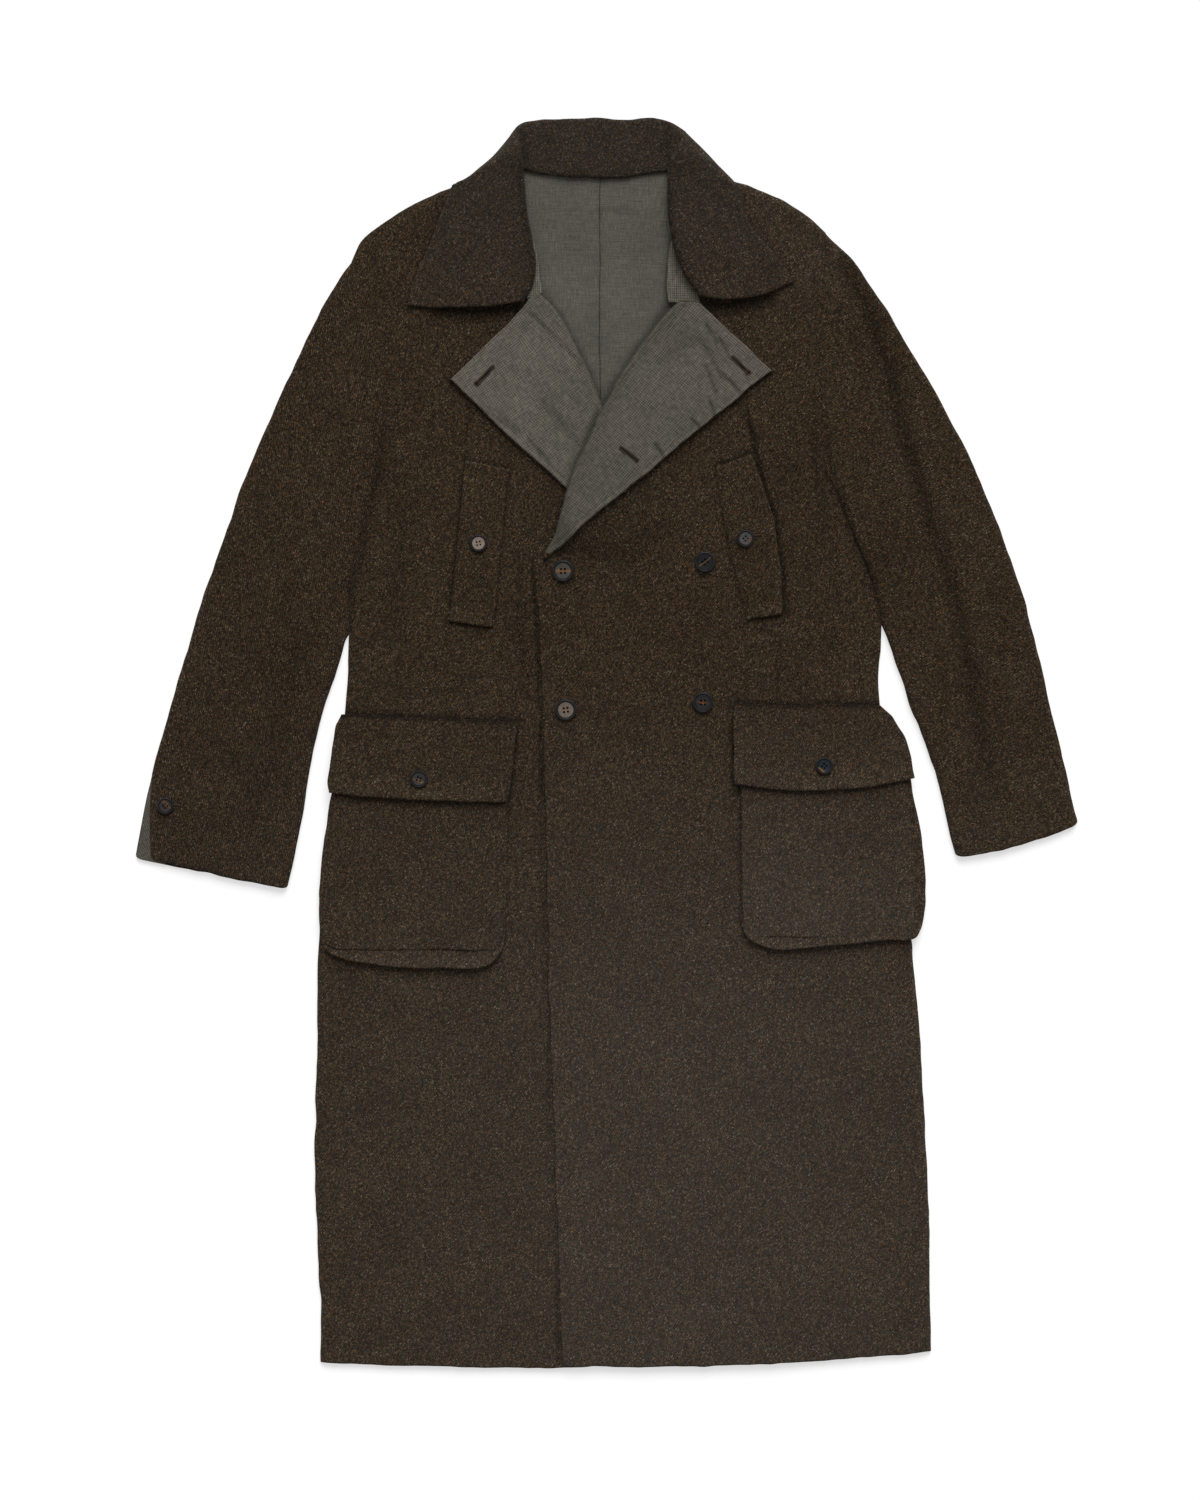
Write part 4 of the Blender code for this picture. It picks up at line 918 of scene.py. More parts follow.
def cloth(
    name, nodes, points, wall, slot,
    grain=0.0, side=-1.0, thin=None, wear=None, seam=None, fade=1.0, least=0.0,
):
    """A closed sheet of cloth through a grid of places, with its wall behind the face that looks up."""
    rows, columns = points.shape[:2]
    metres = table_place(points)
    number = np.arange(rows * columns).reshape(rows, columns)
    quads = np.stack([number[:-1, :-1], number[:-1, 1:], number[1:, 1:], number[1:, :-1]], axis=-1)
    mesh = bpy.data.meshes.new(name)
    mesh.from_pydata(metres.reshape(-1, 3).tolist(), [], quads.reshape(-1, 4).tolist())
    turn = math.radians(grain)
    weft = metres[..., 0] * math.cos(turn) - metres[..., 1] * math.sin(turn)
    warp = metres[..., 0] * math.sin(turn) + metres[..., 1] * math.cos(turn)
    thread = np.stack([weft, warp, metres[..., 2]], axis=-1)
    mesh.attributes.new("grain", "FLOAT_VECTOR", "POINT").data.foreach_set("vector", thread.ravel())
    # Shares at each point: seam darkens seams and carries painted shade, fade is a painted pale haze that
    # stands in for sheen, wear pales rubbed edges, kept thins the wall
    shares = {
        "wear": np.zeros((rows, columns)) if wear is None else wear,
        "seam": np.zeros((rows, columns)) if seam is None else seam,
        "kept": np.ones((rows, columns)) if thin is None else thin,
        "fade": np.maximum(fade * sheen_haze(points), least),
    }
    for share_name, share in shares.items():
        mesh.attributes.new(share_name, "FLOAT", "POINT").data.foreach_set("value", share.ravel())
    sheet = bmesh.new()
    sheet.from_mesh(mesh)
    bmesh.ops.remove_doubles(sheet, verts=sheet.verts, dist=MERGE * MILLIMETRE)
    sheet.normal_update()
    if sum(face.normal.z * face.calc_area() for face in sheet.faces) < 0:
        bmesh.ops.reverse_faces(sheet, faces=sheet.faces)
    for face in sheet.faces:
        face.smooth = True
    sheet.to_mesh(mesh)
    sheet.free()
    mesh.materials.append(looks[slot])
    piece = bpy.data.objects.new(name, mesh)
    bpy.context.scene.collection.objects.link(piece)
    group = piece.vertex_groups.new(name="thin")
    kept = np.empty(len(mesh.vertices))
    mesh.attributes["kept"].data.foreach_get("value", kept)
    for vertex in np.flatnonzero(kept < 1):
        group.add([int(vertex)], 1 - float(kept[vertex]), "REPLACE")
    mesh.attributes.remove(mesh.attributes["kept"])
    thick = piece.modifiers.new("wall", "SOLIDIFY")
    thick.thickness = wall * MILLIMETRE
    thick.offset = side
    thick.vertex_group = group.name
    thick.invert_vertex_group = True
    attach(piece, "root")
    if nodes:
        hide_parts(*nodes)
    return piece


# Body panels

def shoulder_rise(share):
    """How far a row of the chest has taken on the shoulder's curve."""
    end = 1 - ROUND_WIDTH / ARMHOLE_LENGTH
    return ease((share - SHOULDER_START) / (end - SHOULDER_START))


def roll_line(roll, lapel, first, share):
    """A front's edge above the underarm, set back along the lapel by what its facing takes up."""
    place = between(roll, share)
    span = straight(lapel, share) - place
    length = np.linalg.norm(span, axis=-1)
    back = ROLL_SETBACK * ease(length / ROLL_SETBACK_REACH) * ((share >= first) & (share <= GORGE))
    return place + span * (back / np.maximum(length, 1))[:, None]


def front(suffix, side, armhole, skirt_edge, roll, lapel, shoulder, sag, first, top, lines, fade):
    """One front with its lapel turned back: rows from hem to shoulder, columns from side to lapel edge."""
    skirt = spread(SKIRT_LENGTH, FREE_MARKS, [CLOTH_STEP], CLOTH_STEP)[0] / SKIRT_LENGTH
    chest = spread(ARMHOLE_LENGTH, ROUND_MARKS, ROUND_MARKS, CLOTH_STEP)[0] / ARMHOLE_LENGTH
    chest = np.union1d(chest, LAPEL_TIP)
    is_chest = np.concatenate([np.zeros(len(skirt), bool), np.ones(len(chest), bool)])[:, None]
    up = np.concatenate([skirt, chest])
    start = np.concatenate([between(side, skirt), between(armhole, chest)])
    end = np.concatenate([between(skirt_edge, skirt), roll_line(roll, lapel, first, chest)])
    hem_inset = np.where(is_chest, SKIRT_LENGTH, up[:, None] * SKIRT_LENGTH)
    at_side = np.where(is_chest, dome(up[:, None] * ARMHOLE_LENGTH / ROUND_WIDTH), 0.0)
    at_shoulder = np.where(is_chest, dome((1 - up[:, None]) * ARMHOLE_LENGTH / ROUND_WIDTH), 1.0)
    drop = np.where(is_chest, 0.0, sag * (1 - ease(up[:, None] / HEM_SAG_SHARE)))
    rise = np.where(is_chest, shoulder_rise(up[:, None]), 0.0)
    width = np.linalg.norm(end - start, axis=-1)
    inset = spread(width, ROUND_MARKS, FREE_MARKS, CLOTH_STEP)
    part = inset / width[:, None]
    flat = start[:, None] + (end - start)[:, None] * part[..., None]
    flat[..., 1] += drop * bow(part) - rise * between(shoulder, part)[..., 0]
    low = EDGE_LOW + lift(flat)
    share = (1 - (1 - dome(inset / ROUND_WIDTH)) * (1 - at_side)) * at_shoulder
    height = low + (top(flat) - low) * share
    dip = between(ARMHOLE_DIP, up)[:, :1] * at_side * at_shoulder * is_chest
    height -= dip * np.exp(-inset / DIP_WIDTH)
    folded = is_chest[:, 0] & (up >= first) & (up <= GORGE)
    edge_inset = np.where(folded[:, None], ROUND_WIDTH, width[:, None] - inset)
    kept = free_edge(np.minimum(hem_inset, edge_inset))
    height -= TWEED * (1 - kept)
    body = joined(flat, height)
    lapel_end = straight(lapel, np.where(is_chest[:, 0], up, first))
    turned, turned_kept = turned_back(end, lapel_end, folded, body[:, -1], top)
    points = np.concatenate([body, turned], axis=1)
    thin = np.concatenate([kept, turned_kept], axis=1)
    worn = 1 - ramp(np.concatenate([edge_inset, turned_kept * ROUND_WIDTH], axis=1) / WORN_FRONT)
    # Darkened seams and painted shade on the body, none on the turned lapel
    seam = np.concatenate([seams_and_painted_shade(flat, lines), 0 * turned_kept], axis=1)
    return cloth(
        "tweed_front_" + suffix, ["front_" + suffix], points, TWEED, "tweed",
        thin=thin, wear=worn, seam=seam, fade=fade,
    )


def turned_back(roll_place, lapel_place, folded, body_end, top):
    """Columns of a lapel's outer face, round the roll and back over the front, or drawn together."""
    span = lapel_place - roll_place
    length = np.linalg.norm(span, axis=-1)
    folded = folded & (length > 1)
    safe = np.maximum(length, 1)
    outward = -span / safe[:, None]
    centre = top(roll_place) + ROLL_RADIUS
    columns = []
    for angle in ROLL_ANGLES:
        turn = math.radians(angle)
        place = roll_place + outward * ROLL_RADIUS * math.cos(turn)
        columns.append((joined(place, centre + ROLL_RADIUS * math.sin(turn)), np.ones(len(length))))
    edge = 2 * FREE_MARKS[-1]
    inner = 1 - np.minimum(edge, length / 2) / safe
    parts = [inner * part for part in np.linspace(0, 1, LAPEL_COLUMNS + 1)[1:]]
    parts += [1 - np.minimum(mark, length * mark / edge) / safe for mark in FREE_MARKS[::-1]]
    for part in parts:
        place = roll_place + span * part[:, None]
        columns.append((joined(place, lapel_under(place, part, top)), free_edge((1 - part) * length)))
    points, kept = (np.stack(column, axis=1) for column in zip(*columns))
    points = np.where(folded[:, None, None], points, body_end[:, None])
    return points, np.where(folded[:, None], kept, free_edge(0.0))


def facing(suffix, roll, lapel, first, top, creases, lines, base, shade, grain):
    """Facing that covers a lapel, turns round the roll and ends inside the front."""
    outside = TWEED + FACING_AIR + FACING
    radius = ROLL_RADIUS + outside
    share = np.union1d(np.linspace(first + FACING_START, GORGE, FACING_ROWS), LAPEL_TIP)
    roll_place = roll_line(roll, lapel, first, share)
    span = straight(lapel, share) - roll_place
    length = np.linalg.norm(span, axis=-1)
    outward = -span / length[:, None]
    centre = top(roll_place) + ROLL_RADIUS
    open_roll = ROLL_OPEN_LEAST + (1 - ROLL_OPEN_LEAST) * ease(length / ROLL_OPEN_LENGTH)
    # Troughs of the creases get painted shade
    troughs = [crease for crease in creases if crease[-2] < 0]
    lines = lines + [(ends(crease), crease[-1], FOLD_SHADE / crease[-1]) for crease in troughs]
    insets = [FACING_INSET + np.minimum(mark, length / FACING_MARK_SHARE) for mark in FREE_MARKS]
    reach = insets[-1]
    insets += [reach + (length - reach) * part for part in np.linspace(0, 1, FACING_COLUMNS)[1:]]
    whole = np.ones(len(share))
    columns = []
    for inset in insets:
        part = ramp(1 - inset / length)
        place = roll_place + span * part[:, None]
        keep = free_edge(inset - FACING_INSET)
        rise = creased(place, creases) * ease(inset / FACING_CREASE_REACH) + uneven(place, UNEVEN_FACING)
        rise -= HEM_DEPTH * np.exp(-(((inset - HEM_PLACE) / HEM_HALF) ** 2))
        rise += uneven(place, PUCKER) * np.exp(-inset / PUCKER_REACH)
        height = lapel_under(place, part, top) + outside + rise - FACING * (1 - keep)
        # Painted shade near the roll and along the given lines, over all by the base share
        near_roll = ROLL_SHADE_LEAST * shade * np.exp(-part * length / ROLL_SHADE_REACH)
        dark = 1 - (1 - base) * (1 - np.maximum(seams_and_painted_shade(place, lines), near_roll))
        columns.append((joined(place, height), keep, 1 - ramp(inset / WORN_FACING), dark))
    for angle in FACING_ANGLES:
        turn = math.radians(angle)
        place = roll_place + outward * (radius * math.cos(turn) * open_roll)[:, None]
        # Painted shade over the turn of the roll
        turned = ease((FACING_ANGLES[0] - angle) / ROLL_SHADE_TURN)
        dark = shade * (ROLL_SHADE_LEAST + (1 - ROLL_SHADE_LEAST) * turned)
        columns.append((joined(place, centre + radius * math.sin(turn)), whole, 0 * whole, dark * whole))
    place = roll_place - outward * FACING_STRIP
    columns.append((joined(place, top(place) - outside), whole, 0 * whole, 0 * whole))
    points, kept, worn, seam = (np.stack(column, axis=1) for column in zip(*columns))
    return cloth(
        "cotton_facing_" + suffix, ["facing_" + suffix], points, FACING, "facing",
        grain=grain, thin=kept, wear=worn, seam=seam,
    )


def back():
    """Back panel, flat on the table and lifted at the neck."""
    edge = np.asarray(BACK_EDGE, float)
    across = spread(edge[-1, 0] - edge[0, 0], [0.0], [0.0], HIDDEN_STEP)[0] + edge[0, 0]
    part = (across - edge[0, 0]) / (edge[-1, 0] - edge[0, 0])
    level = edge[0, 1] + (edge[-1, 1] - edge[0, 1]) * part
    rise_full = between(BACK_EDGE, across)[:, 0] - level
    skirt = spread(SKIRT_LENGTH, [0.0], [HIDDEN_STEP], HIDDEN_STEP)[0] / SKIRT_LENGTH
    chest = spread(ARMHOLE_LENGTH, [0.0], [0.0], HIDDEN_STEP)[0] / ARMHOLE_LENGTH
    start = np.concatenate([between(SIDE_RIGHT, skirt), between(ARMHOLE_RIGHT, chest)])
    end = np.concatenate([between(SIDE_LEFT, skirt), between(ARMHOLE_LEFT, chest)])
    drop = np.concatenate([HEM_SAG_LEFT * (1 - ease(skirt / HEM_SAG_SHARE)), 0 * chest])
    rise = np.concatenate([0 * skirt, shoulder_rise(chest)])
    flat = start[:, None] + (end - start)[:, None] * part[None, :, None]
    flat[..., 1] += drop[:, None] * bow(part) + rise[:, None] * rise_full
    return cloth("tweed_back", ["back"], joined(flat, BACK_TOP + lift(flat)), TWEED, "tweed")


def lining(suffix, table, seam_shift):
    """Half of the back lining, from the neck seam down inside the fronts."""
    share = spread(LINING_LENGTH, [0.0], [0.0], CLOTH_STEP)[0] / LINING_LENGTH
    part = spread(LINING_WIDTH, [0.0], FREE_MARKS, CLOTH_STEP)[0] / LINING_WIDTH
    found = between(table, share)
    outer = found[:, None, :2]
    middle = found[:, None, 2:] + np.array([seam_shift, 0.0])
    flat = outer + (middle - outer) * part[None, :, None]
    from_seam = np.linalg.norm(middle - flat, axis=-1)
    height = LINING_TOP + lift(flat) + creased(flat, CREASES_LINING) + uneven(flat, UNEVEN_LINING)
    height -= LINING_DIP * np.exp(-from_seam / LINING_DIP_WIDTH)
    # Darkened centre seam, and painted shadow beside the lapels' rolls
    seam = np.maximum(LINING_SEAM * np.exp(-from_seam / LINING_SEAM_WIDTH), seams_and_painted_shade(flat, SHADOW_ON_LINING))
    return cloth(
        "cotton_lining_" + suffix, ["back_lining_" + suffix], joined(flat, height), LINING, "lining",
        seam=seam,
    )


# Sleeves

def sleeve_grid(table, armhole, share, inset_marks, seam, sag, step):
    """Places of a sleeve on the table, from cuff to armhole and from inner to outer edge, with insets."""
    found = between(table, share)
    outer = found[:, None, :2]
    inner = found[:, None, 2:]
    fade = (np.maximum(0.0, 1 - share / ARMHOLE_FADE) ** 2)[:, None]
    direct = np.linalg.norm(outer - inner, axis=-1)
    width = ARMHOLE_LENGTH * fade + direct * (1 - fade)
    inset = spread(width[:, 0], inset_marks, inset_marks, step)
    part = inset / width
    flat = inner + (outer - inner) * part[..., None]
    hole = np.asarray(armhole, float)
    curve = between(armhole, part) - (hole[0, 1:] + (hole[-1, 1:] - hole[0, 1:]) * part[..., None])
    flat = flat + curve * fade[..., None]
    rounding = dome(np.minimum(inset, width - inset) / ROUND_WIDTH)
    flat[..., 0] += seam * (1 - ramp(share / SEAM_FADE))[:, None]
    flat[..., 1] += sag * bow(part) * (share ** CUFF_SAG_POWER)[:, None]
    return flat, part, rounding


def cuff_corner(table, cuff_inset, rounding):
    """Shift up a sleeve that rounds the corners of its cuff."""
    upper, lower = between(table, [VENT_START, 1.0]).reshape(2, 2, 2).mean(axis=1)
    upward = (upper - lower) / np.linalg.norm(upper - lower)
    drawn = CUFF_CORNER * (1 - rounding) * (1 - ramp(cuff_inset / CUFF_FADE))[:, None]
    return drawn[..., None] * upward


def sleeve_fold(folds, share, part):
    """Depth of the soft folds on a sleeve."""
    depth = 0.0
    for from_along, from_across, to_along, to_across, deep, half in folds:
        along = ramp((share - from_along) / (to_along - from_along))
        aside = (part - from_across - (to_across - from_across) * along) / half
        depth = depth + deep * np.sin(np.pi * along) * np.exp(-FOLD_SHARPNESS * aside * aside)
    return depth


def sleeve_height(flat, share, part, rounding, body_top, folds, creases, armhole, vent):
    """Upper face of a sleeve."""
    crown = SLEEVE_TOP + (body_top - SLEEVE_TOP) * (1 - ease(share / CROWN_FADE))
    low = EDGE_LOW + (VENT_RAISE * ease((share - VENT_START + VENT_LEAD) / VENT_LEAD) if vent else 0.0)
    soft = creased(flat, creases) + uneven(flat, UNEVEN) - sleeve_fold(folds, share, part)
    from_seam = distance_to_line(flat, [row[1:] for row in armhole])
    soft = soft - between(ARMHOLE_DIP, part)[..., 0] * np.exp(-from_seam / DIP_WIDTH)
    return low + (crown + soft - low) * rounding


def sleeve(suffix, table, armhole, body_top, seam, sag, folds, creases, lines, grain, vent):
    """Upper cloth of a sleeve, rounded down to the under sleeve at both edges."""
    cuff_inset = spread(SLEEVE_LENGTH, FREE_MARKS, [0.0], CLOTH_STEP)[0]
    share = 1 - cuff_inset / SLEEVE_LENGTH
    flat, part, rounding = sleeve_grid(table, armhole, share, ROUND_MARKS, seam, sag, CLOTH_STEP)
    flat = flat + cuff_corner(table, cuff_inset, rounding)
    height = sleeve_height(flat, share[:, None], part, rounding, body_top, folds, creases, armhole, vent)
    opened = ramp((share - VENT_START) / (1 - VENT_START))[:, None] if vent else 0.0
    flat[..., 0] += opened * VENT_DRAW * part
    kept = free_edge(np.broadcast_to(cuff_inset[:, None], part.shape))
    height = height - TWEED * (1 - kept)
    worn = 1 - ramp(np.broadcast_to(cuff_inset[:, None], part.shape) / WORN_CUFF)
    # Painted shade along the armhole and the sleeve's folds
    return cloth(
        "tweed_sleeve_upper_" + suffix, ["sleeve_upper_" + suffix], joined(flat, height), TWEED, "tweed",
        grain=grain, thin=kept, wear=worn, seam=seams_and_painted_shade(flat, lines),
    )


def under_sleeve(suffix, table, armhole, seam, sag, grain):
    """Under cloth of a sleeve, flat on the table."""
    cuff_inset = spread(SLEEVE_LENGTH, [0.0], [0.0], HIDDEN_STEP)[0]
    share = 1 - cuff_inset / SLEEVE_LENGTH
    flat, _, rounding = sleeve_grid(table, armhole, share, [0.0], seam, sag, HIDDEN_STEP)
    flat = flat + cuff_corner(table, cuff_inset, rounding)
    height = np.full(flat.shape[:2], BACK_TOP)
    return cloth(
        "tweed_sleeve_under_" + suffix, ["sleeve_under_" + suffix], joined(flat, height), TWEED, "tweed",
        grain=grain,
    )


def cuff_facing():
    """Facing that shows in the open vent of the right cuff, darkened all over with painted shade."""
    cuff_inset = spread(VENT_FACING_LENGTH, FREE_MARKS, [0.0], TRIM_STEP)[0]
    share = 1 - cuff_inset / SLEEVE_LENGTH * VENT_FACING_SLANT
    found = between(SLEEVE_RIGHT, share)
    outer = found[:, None, :2]
    inward = found[:, None, 2:] - outer
    inward = inward / np.linalg.norm(inward, axis=-1, keepdims=True)
    reach = spread(VENT_FACING_WIDTH, [VENT_FACING_START * VENT_FACING_WIDTH], [0.0], TRIM_STEP)[0]
    flat = outer + inward * reach[None, :, None]
    flat = flat + cuff_corner(SLEEVE_RIGHT, cuff_inset, dome(reach / ROUND_WIDTH)[None])
    rise = VENT_FACING_RISE * ease(reach / VENT_FACING_RISE_WIDTH)[None]
    height = BACK_TOP + SEAM + FACING + uneven(flat, UNEVEN_CUFF) + rise
    return cloth(
        "cotton_cuff_facing_right", ["cuff_facing_right"], joined(flat, height), FACING, "facing",
        grain=GRAIN_SLEEVE_RIGHT, seam=np.full(flat.shape[:2], CUFF_SHADE),
    )


# Collar

def collar():
    """Collar in one piece: stand up from the neck seam, roll, and leaf down to its edge."""
    last = len(COLLAR_STATIONS) - 1
    marks = np.asarray(FREE_MARKS) / STATION_LENGTH
    key = spread(last, marks, marks, last / COLLAR_ROWS)[0]
    found = between(numbered(COLLAR_STATIONS), key)
    neck, roll, heights, turns, edge, resting = np.split(found, COLLAR_COLUMNS, axis=1)
    roll[:, 1] += uneven(roll, ROLL_WANDER)
    roll_height, radius = heights.T
    turn = np.radians(turns[:, 0])
    neck_back, edge_under = ramp(resting).T
    right_half = neck[:, 0] < NECK_ACROSS
    half = COLLAR / 2

    def on_fronts(place):
        return np.where(right_half, right_top(place), left_top(place)) + AIR + half

    neck_height = on_fronts(neck) * (1 - neck_back) + (LINING_TOP + NECK_LIFT + SEAM + half) * neck_back
    edge_height = on_fronts(edge) * (1 - edge_under) + LEAF_UNDER * edge_under
    sign = np.where(right_half, -1.0, 1.0)
    away = np.stack([sign, -np.ones_like(sign), 0 * sign], axis=-1) / math.sqrt(2)
    upward = np.array([0.0, 0.0, 1.0])
    leaf_side = away * np.cos(turn)[:, None] + upward * np.sin(turn)[:, None]
    ahead = roll - neck
    ahead = joined(ahead / np.linalg.norm(ahead, axis=-1, keepdims=True), 0 * turn)
    centre = joined(roll, roll_height)
    foot = joined(neck, neck_height)
    tip = joined(edge, edge_height)
    stand_end = centre - leaf_side * radius[:, None]
    leaf_start = centre + leaf_side * radius[:, None]
    length = np.linalg.norm(tip - leaf_start, axis=-1)
    end_sag = LEAF_END_SAG_RIGHT * ramp(1 - key) + LEAF_END_SAG_LEFT * ramp(1 - (last - key))
    end_sag += LEAF_SIDE_SAG * np.exp(-(((key - LEAF_SIDE_STATION) / LEAF_SIDE_REACH) ** 2))
    end_inset = np.minimum(key, last - key) * STATION_LENGTH
    columns = []
    insets = []
    for part in np.linspace(0, 1, STAND_COLUMNS + 1)[:-1]:
        columns.append(foot + (stand_end - foot) * part)
        insets.append(end_inset)
    for fold in np.linspace(0, math.pi, FOLD_COLUMNS):
        bend = -leaf_side * math.cos(fold) + ahead * math.sin(fold)
        columns.append(centre + bend * radius[:, None])
        insets.append(end_inset)
    reach = 1 - FREE_MARKS[-1] / length
    shares = [reach * part for part in np.linspace(0, 1, LEAF_COLUMNS + 1)[1:]]
    shares += [1 - mark / length for mark in FREE_MARKS[-2::-1]]
    for part in shares:
        point = leaf_start + (tip - leaf_start) * part[:, None]
        point[:, 1] += end_sag * bow(part)
        columns.append(point)
        insets.append(np.minimum(end_inset, (1 - part) * length))
    points = np.stack(columns, axis=1)
    inset = np.stack(insets, axis=1)
    soft = creased(points[..., :2], CREASES_COLLAR) + uneven(points[..., :2], UNEVEN_COLLAR)
    outside = np.ones(points.shape[:2])
    outside[:, STAND_COLUMNS + FOLD_COLUMNS // 2:] = 1 - edge_under[:, None]
    points[..., 2] += soft * outside * ease(inset / COLLAR_SOFT_REACH + COLLAR_SOFT_LEAST)
    # Painted shade along the neck seam, the stand's creases and the roll, over a greyer, darker tone that
    # grows towards the top
    grey = ease((COLLAR_GREY_DOWN - points[..., 1]) / COLLAR_GREY_LENGTH)
    shade = COLLAR_SHADE[0] + COLLAR_SHADE[1] * grey
    seam = 1 - (1 - shade) * (1 - seams_and_painted_shade(points[..., :2], SHADE_COLLAR_LINES))
    return cloth(
        "tweed_collar", ["collar"], points, COLLAR, "tweed",
        grain=GRAIN_COLLAR, side=0.0, thin=free_edge(inset), wear=1 - ramp(inset / WORN_COLLAR), seam=seam,
        least=COLLAR_HAZE[0] + COLLAR_HAZE[1] * grey,
    )


# Pockets and other laid panels

def panel_keys(table, step):
    """Keys down a table of rows at even distances with marks at both ends, and the whole length."""
    many = np.linspace(0, len(table) - 1, PANEL_SAMPLES)
    rows = between(numbered(table), many)
    middle = (rows[:, 0:2] + rows[:, 2:4]) / 2
    gone = np.concatenate([[0.0], np.cumsum(np.linalg.norm(np.diff(middle, axis=0), axis=-1))])
    wanted = spread(gone[-1], FREE_MARKS, FREE_MARKS, step)[0]
    return np.interp(wanted, gone, many), wanted, gone[-1]


def laid_panel(
    name, nodes, table, top, above, wall, slot,
    sag=0.0, lip=0.0, lip_length=1.0, droop=0.0, fade=1.0, lines=(), sewn=0.0,
):
    """Panel laid on a front, each of its points moved up from the front."""
    keys, up, length = panel_keys(table, TRIM_STEP)
    rows = between(numbered(table), keys)
    start = rows[:, None, 0:2]
    end = rows[:, None, 2:4]
    width = np.linalg.norm(end - start, axis=-1)
    inset = spread(width[:, 0], FREE_MARKS, FREE_MARKS, TRIM_STEP)
    part = inset / width
    flat = start + (end - start) * part[..., None]
    flat[..., 1] += (sag * (1 - ease(keys / FLAP_SAG_ROWS)))[:, None] * bow(part)
    share = rows[:, None, 4] if rows.shape[1] > 4 else np.zeros((len(keys), 1))
    nearest = np.minimum(np.minimum(inset, width - inset), np.minimum(up, length - up)[:, None])
    kept = free_edge(nearest)
    height = top(flat) + above[0] + (above[1] - above[0]) * share + wall
    height = height + lip * (1 - ease(up / lip_length))[:, None] * bow(LIP_END + (1 - 2 * LIP_END) * part)
    height = height + uneven(flat, UNEVEN_PANEL) * ease(nearest / PANEL_SOFT_REACH)
    height = height - droop * ease(overhang(flat) / DROOP_WIDTH) - wall * (1 - kept)
    from_sewn = width - inset if sewn > 0 else inset
    height = height - abs(sewn) * (1 - ease(from_sewn / SEWN_REACH))
    # Painted shade along the given lines
    return cloth(
        name, nodes, joined(flat, height), wall, slot, thin=kept,
        wear=1 - ramp(nearest / WORN_PANEL), seam=seams_and_painted_shade(flat, lines) if lines else None, fade=fade,
    )


def overhang(points):
    """How far places lie past the left side seam."""
    down = np.asarray(SIDE_LEFT, float)[::-1]
    side = np.interp(points[..., 1], down[:, 2], down[:, 1])
    return points[..., 0] - side


def gusset(suffix, ring, top, droop):
    """Folded gusset under a pocket front, with a soft lip where it stands off the coat."""
    places = np.asarray(ring, float)
    middle = places.mean(axis=0)
    outer = between(numbered(ring), np.linspace(0, len(ring) - 1, GUSSET_ROWS))
    marks = np.asarray(FREE_MARKS) / GUSSET_MARK_SHARE
    lay = np.concatenate([marks, np.linspace(GUSSET_START, 1, GUSSET_COLUMNS)])
    flat = outer[:, None] + (middle - outer)[:, None] * GUSSET_DEPTH * lay[None, :, None]
    inset = np.linalg.norm(flat - outer[:, None], axis=-1)
    kept = free_edge(inset)
    at_foot = ease((outer[:, 1] - places[:, 1].max() + GUSSET_FOOT) / GUSSET_FOOT_FADE)[:, None]
    swell = GUSSET_LIP * (1 - ease(inset / GUSSET_LIP_WIDTH))
    swell = swell + GUSSET_SWELL * (1 - ease((inset - GUSSET_LIP_WIDTH) / GUSSET_SWELL_WIDTH))
    height = top(flat) + SEAM + TWEED + at_foot * swell
    height = height - droop * ease(overhang(flat) / DROOP_WIDTH) - TWEED * (1 - kept)
    return cloth(
        "tweed_pocket_gusset_" + suffix, ["pocket_gusset_" + suffix], joined(flat, height), TWEED, "tweed",
        thin=kept, wear=1 - ramp(inset / WORN_PANEL),
    )


def pocket(suffix, front_rows, ring, flap_rows, top, flap_sag, droop, fade):
    """Bellows pocket: gusset on the front, pocket front over it, flap over both."""
    over_gusset = SEAM + TWEED + SEAM
    over_front = over_gusset + TWEED + SEAM
    gusset(suffix, ring, top, droop)
    laid_panel(
        "tweed_pocket_front_" + suffix, ["pocket_front_" + suffix], front_rows, top,
        (over_gusset, over_gusset), TWEED, "tweed",
        droop=droop, fade=fade, lines=[(ends(flap_rows[0]), *SHADOW_UNDER_FLAP)],
    )
    laid_panel(
        "tweed_pocket_flap_" + suffix, ["pocket_flap_" + suffix], flap_rows, top, (SEAM, over_front),
        TWEED, "tweed", sag=flap_sag, lip=FLAP_LIP,
        lip_length=FLAP_LIP_LENGTH, droop=droop, fade=fade,
        lines=[(ends(flap_rows[-1]), *SHADE_FLAP_SEAM), (ends(flap_rows[-2]), *SHADE_FLAP_FOLD)],
    )


def welt(suffix, rows, top, sewn):
    """Slanting welt of a chest pocket, open along its lower edge and sewn down along one side."""
    laid_panel(
        "tweed_chest_welt_" + suffix, ["chest_welt_" + suffix], rows, top, (SEAM, SEAM), TWEED, "tweed",
        lip=WELT_LIP, lip_length=WELT_LIP_LENGTH, sewn=sewn,
    )


def neck_strip(suffix, rows, top, creases, lip, rise):
    """Facing that shows inside the neck beside the collar's roll."""

    def raised(points):
        above = (rows[0][1] - points[..., 1]) / NECK_STRIP_RISE_LENGTH
        lifted = lip * np.exp(-(points[..., 0] - rows[1][0]) / NECK_STRIP_LIP_WIDTH)
        lifted = lifted + rise * (1 - ease(above))
        return top(points) + creased(points, creases) + lifted

    laid_panel(
        "cotton_neck_facing_" + suffix, [], rows, raised, (SEAM, SEAM), FACING, "facing",
    )


# Places on the finished cloth

